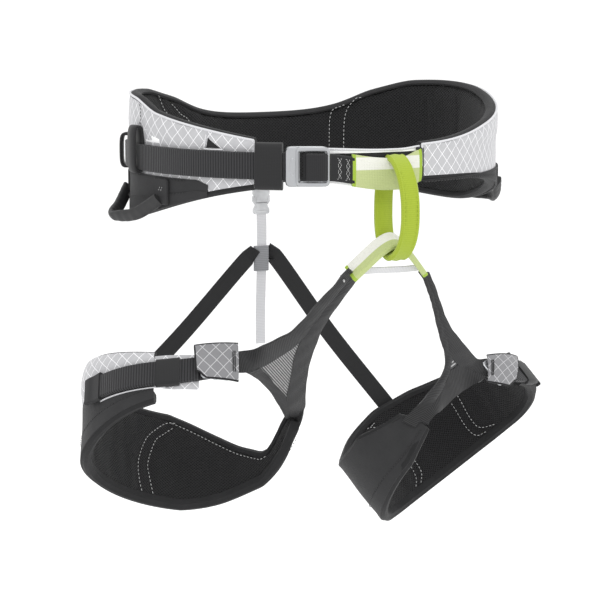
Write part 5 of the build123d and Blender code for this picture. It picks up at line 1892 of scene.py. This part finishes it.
    def panel(self, cloth: Mesher, edges: Sequence[Sequence[tuple]], swell: float) -> None:
        """One cloth panel of the riser between two edge lines, slightly rounded."""
        count = 4 * len(edges[0])
        one, two = (curve_through([Vector(p) for p in edge], count) for edge in edges)
        facing = self.bridge.axes()[0]
        rows = []
        for k, (a, b) in enumerate(zip(one, two)):
            wide = (b - a).length
            row = []
            for j in range(7):
                share = j / 6
                puff = swell * math.sin(math.pi
                                        * share) * min(1.0,
                                                       wide
                                                       / 12) + 0.25 * math.sin(k * 1.1 + 5 * share)
                row.append(a.lerp(b, share) + facing * puff)
            rows.append(row)
        cloth.sheet(rows, 1.9)

    def riser(self) -> None:
        """The forked riser up to the lower tie-in, with its open mesh window."""
        side, sign = self.fit.name, self.fit.track.side
        normal = self.bridge.axes()[0]
        shape = RISER_SHAPES[side]
        cloth = Mesher()
        for key, swell in (("upper", 0.8), ("inner", 1.2), ("base", 0.4)):
            self.panel(cloth, shape[key], swell)
        cloth.place(f"{side}_forked_riser", self.finish.riser, f"{side}_leg", self.nodes("riser"),
                    "riser_fabric", sharp=50)
        apex, outer, lower = (Vector(p) for p in shape["window"])
        middle = apex.lerp(outer, 0.5).lerp(lower, 0.33)
        white, dark = Mesher(), Mesher()
        rungs = int((lower - apex).length / 1.8)
        for k in range(1, rungs):
            share = k / rungs
            ends = [(v - middle) * 1.06 + middle for v in (apex.lerp(outer, share),
                                                           apex.lerp(lower, share))]
            thread = path_stations([ends[0], ends[0].lerp(ends[1], 0.5), ends[1]], lambda i: normal)
            (white if k % 2 else dark).skin(thread, flat(0.5, 1.8, -0.9))
        white.place(f"{side}_riser_mesh_light", self.finish.white_thread, f"{side}_leg",
                    self.nodes("riser_mesh"), "window_mesh")
        dark.place(f"{side}_riser_mesh_dark", self.finish.mesh_thread, f"{side}_leg")
        if sign > 0:
            return
        tack = self.bridge.spot(sign * (self.bridge.radius + 4.5), self.bridge.radius + 5)
        mark = Mesher().skin(path_stations([tack - normal * 4.5 + Vector((sign * 2.4, 0, 0)),
                                            tack + normal * 3.0 + Vector((sign * 2.4, 0, 0))],
                                           lambda i: UP), flat(2.2, 1.0, -0.5))
        mark.place(f"{side}_riser_bartack", self.finish.white_thread, f"{side}_leg")

    def rows(self) -> list:
        """White rows of stitching inside the pad."""
        track, rows = self.fit.track, []
        for line in self.fit.quilting:
            points = []
            for angle, height in line:
                low, high = self.fit.heights(track.station(angle))
                points.append(track.point(angle, -self.thick - 0.6,
                                          min(max(height, low + 8.5), high - 6.5)))
            rows.append(curve_through(points, 30))
        for start, end in self.fit.edge_row:
            rows.append([track.point(p.turn, -self.thick - 0.7, self.fit.heights(p)[1] - 7.5)
                         for p in track.stations(start, end, 4.0)])
        return rows

    def dark_rows(self) -> list:
        """Dark rows along the lower band."""
        track = self.fit.track
        low_row = [track.point(p.turn, 1.25, 0.35 * self.band_top + 0.65 * self.fit.heights(p)[0])
                   for p in track.stations(self.start + 2, self.fit.end - 4, 4.0)]
        return [low_row]


# ---- rear riser ------------------------------------------------------------------------------
@dataclass(frozen=True)
class RearRiser:
    """The releasable rear riser: tab, side-release buckle, strap, slider and two elastics."""

    finish: Palette
    y: float = 104.5
    strap_width: float = 9.0
    slider: tuple = (-95.0, -117.0)

    def build(self) -> None:
        """Build every piece."""
        side = Vector((1, 0, 0))
        tab = Mesher().skin(path_stations([Vector((0, self.y - 1.4, z)) for z in (-20, -28, -36,
                                                                                  -44, -47)],
                                          lambda i: side), flat(11.0, 1.6, -0.8))
        tab.place("rear_tab_webbing", self.finish.plain, "waist_belt", ("rear_tab",), "webbing")
        self.buckle()
        strap = [Vector((0.5 * math.sin(z / 21), self.y + 0.8 * math.sin(z / 34), z))
                 for z in range(-182, -63, 4)]
        white = Mesher().skin(path_stations(strap, lambda i: side),
                              flat(self.strap_width, 1.4, -0.7))
        made = white.build("rear_riser_white_strap", [self.finish.white])
        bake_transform(made)
        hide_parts("rear_riser_strap")
        top, low = self.slider
        path = [Vector((0, self.y, low + (top - low) * k / 8)) for k in range(9)]
        turns = full_turn(16)
        oval = [(6.9 * bulge(math.cos(t), 0.5),
                 2.5 * bulge(math.sin(t), 0.6)) for t in turns]
        slider = Mesher().skin(path_stations(path, lambda i: side), lambda p: oval)
        slider.place("rear_slider_sleeve", self.finish.slider, "leg_bridge", ("rear_slider",),
                     "elastic")
        for leg in LEGS:
            self.elastic(leg)

    def buckle(self) -> None:
        """The side-release buckle: the socket, and the plug's waisted frame."""
        place = Station(Vector((0, self.y, -55.0)), Vector((0, 0, 1)), Vector((0, -1, 0)), 0.0)
        socket = Mesher()
        outline = [(-6.0, 11.6), (6.0, 11.6), (7.4, 10.4), (7.6, 6.0), (5.2, 1.6), (5.6, -1.4),
                   (-5.6, -1.4), (-5.2, 1.6), (-7.6, 6.0), (-7.4, 10.4)]
        socket.prism(place, outline, -2.4, 2.4, 0.7)
        socket.prism(place, [(-5.4, 10.2), (5.4, 10.2), (5.4, 8.4), (-5.4, 8.4)], 2.0, 2.9, 0.3)
        socket.place("rear_buckle_socket_body", self.finish.plastic, "waist_belt",
                     ("rear_buckle_socket",), "grey_plastic", sharp=35)
        plug = Mesher()
        outline = [(-5.0, -1.8), (5.0, -1.8), (5.4, -4.0), (7.4, -7.6), (7.4, -10.6), (6.2, -11.8),
                   (-6.2, -11.8), (-7.4, -10.6), (-7.4, -7.6), (-5.4, -4.0)]
        plug.prism(place, outline, -2.2, 2.2, 0.6)
        for sign in (-1, 1):
            plug.prism(place, [(sign * 5.6, 3.6), (sign * 7.9, 4.2), (sign * 8.1, -0.6),
                               (sign * 6.2, -3.4), (sign * 4.8, -3.0)], -1.5, 1.5, 0.4)
        plug.prism(place, [(-5.2, -8.6), (5.2, -8.6), (5.2, -10.4), (-5.2, -10.4)], 1.8, 2.8, 0.3)
        plug.place("rear_buckle_plug_body", self.finish.plastic, "waist_belt",
                   ("rear_buckle_plug",), "grey_plastic", sharp=35)

    def elastic(self, leg: LegFit) -> None:
        """One woven elastic from the slider to a leg pad."""
        sign = leg.track.side
        middle = sum(self.slider) / 2
        start = Vector((sign * 6.0, self.y, middle + 2))
        near = Vector((sign * 14.0, self.y, middle))
        top = leg.heights(leg.track.station(leg.elastic_at))[1]
        end = leg.track.point(leg.elastic_at, -2.0, top + 7.5)
        sewn = leg.track.point(leg.elastic_at, -2.6, top - 4.0)
        sag = near.lerp(end, 0.5) + Vector((0, 1.5, -3.0))
        path = curve_through([start, near, sag, end, sewn], 36)
        run = (end - near).normalized()
        side = run.cross(Vector((0, 1, 0))).normalized()
        places = path_stations(path, lambda i: side)
        made = Mesher().skin(places, flat(15.0, 1.6, -0.8)).build(f"rear_elastic_{leg.name}_strap",
                                                                  [self.finish.elastic])
        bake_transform(made)
        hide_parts(f"rear_elastic_{leg.name}")


# ---- stage -----------------------------------------------------------------------------------
@dataclass(frozen=True)
class Studio:
    """A pale floor, soft lights and the camera."""

    azimuth: float = -25.0
    height: float = 9.0
    distance: float = 2000.0
    target: Point = (-17.44, -13.73, -125.11)
    lens: float = 144.0
    floor_z: float = -0.62

    def build(self) -> None:
        """Set the whole stage."""
        floor = bpy.data.materials.new("studio_floor_white")
        floor.use_nodes = True
        tree = floor.node_tree
        tree.nodes.clear()
        noise = add(tree, "ShaderNodeTexNoise", Scale=3.0, Detail=2.0)
        rough = add(tree, "ShaderNodeMapRange", Value=noise.outputs[0], To_Min=0.85, To_Max=0.95)
        shader = add(tree, "ShaderNodeBsdfPrincipled", Base_Color=linear("FFFFFF"),
                     Roughness=rough.outputs[0])
        add(tree, "ShaderNodeOutputMaterial", Surface=shader.outputs[0])
        mesh = bpy.data.meshes.new("studio_floor")
        side = 12.0
        mesh.from_pydata([(-side, -side, self.floor_z), (side, -side, self.floor_z),
                          (side, side, self.floor_z), (-side, side, self.floor_z)], [],
                         [(0, 1, 2, 3)])
        mesh.materials.append(floor)
        plane = bpy.data.objects.new("studio_floor", mesh)
        bpy.context.collection.objects.link(plane)
        world = bpy.data.worlds.new("studio_world")
        world.use_nodes = True
        world.node_tree.nodes["Background"].inputs[0].default_value = linear("FFFFFF")
        world.node_tree.nodes["Background"].inputs[1].default_value = 1.1
        bpy.context.scene.world = world
        bpy.context.scene.view_settings.view_transform = "Standard"
        log.info("floor %.2f m down", self.floor_z)
        self.light("key_softbox", (-1.4, -2.2, 1.9), 1.6, 26.0)
        self.light("fill_softbox", (2.0, -1.8, 0.9), 1.8, 10.0)
        self.light("top_softbox", (0.2, 0.6, 2.4), 1.8, 16.0)
        self.camera()

    def light(self, name: str, place: Point, size: float, power: float) -> None:
        """One square softbox aimed at the harness."""
        data = bpy.data.lights.new(name, "AREA")
        data.size, data.energy = size, power
        made = bpy.data.objects.new(name, data)
        made.location = place
        made.rotation_euler = (Vector(self.target) * MM
                               - Vector(place)).to_track_quat("-Z", "Y").to_euler()
        bpy.context.collection.objects.link(made)

    def camera(self) -> None:
        """The camera, turned about the harness and tilted down."""
        data = bpy.data.cameras.new("main_camera")
        data.lens, data.sensor_width, data.clip_end = self.lens, 36.0, 50.0
        made = bpy.data.objects.new("main_camera", data)
        turn, tilt = math.radians(self.azimuth), math.radians(self.height)
        back = Vector((math.sin(turn) * math.cos(tilt), -math.cos(turn) * math.cos(tilt),
                       math.sin(tilt)))
        made.location = (Vector(self.target) + back * self.distance) * MM
        made.rotation_euler = (-back).to_track_quat("-Z", "Y").to_euler()
        bpy.context.collection.objects.link(made)
        bpy.context.scene.camera = made


def main() -> None:
    """Build the harness and its stage."""
    logging.basicConfig(level=logging.INFO, format="%(message)s")
    finish = Palette()
    belt, webbing = WaistBelt(finish), WaistWebbing(finish)
    belay, bridge = BelayLoop(finish), LowerTieIn(finish)
    legs = [LegLoop(finish, fit, bridge) for fit in LEGS]
    for part in (belt, webbing, belay, bridge, *legs, RearRiser(finish)):
        part.build()
    stitches = StitchRows()
    tree = stitches.tree()
    stitches.sew("belt_quilting_stitches", belt.rows(), finish.white_thread, "waist_belt", tree)
    stitches.sew("belt_band_stitches", belt.dark_rows(), finish.dark_thread, "waist_belt", tree)
    stitches.sew("waist_webbing_bartacks", webbing.bartacks(), finish.white_thread, "waist_belt",
                 tree, 0.7)
    stitches.sew("belay_loop_stitches", belay.rows(), finish.green, "belay_loop", tree)
    for leg in legs:
        name = leg.fit.name
        stitches.sew(f"{name}_leg_quilting_stitches", leg.rows(), finish.white_thread,
                     f"{name}_leg", tree)
        stitches.sew(f"{name}_leg_band_stitches", leg.dark_rows(), finish.dark_thread,
                     f"{name}_leg", tree)
    Studio().build()


if __name__ == "__main__":
    main()
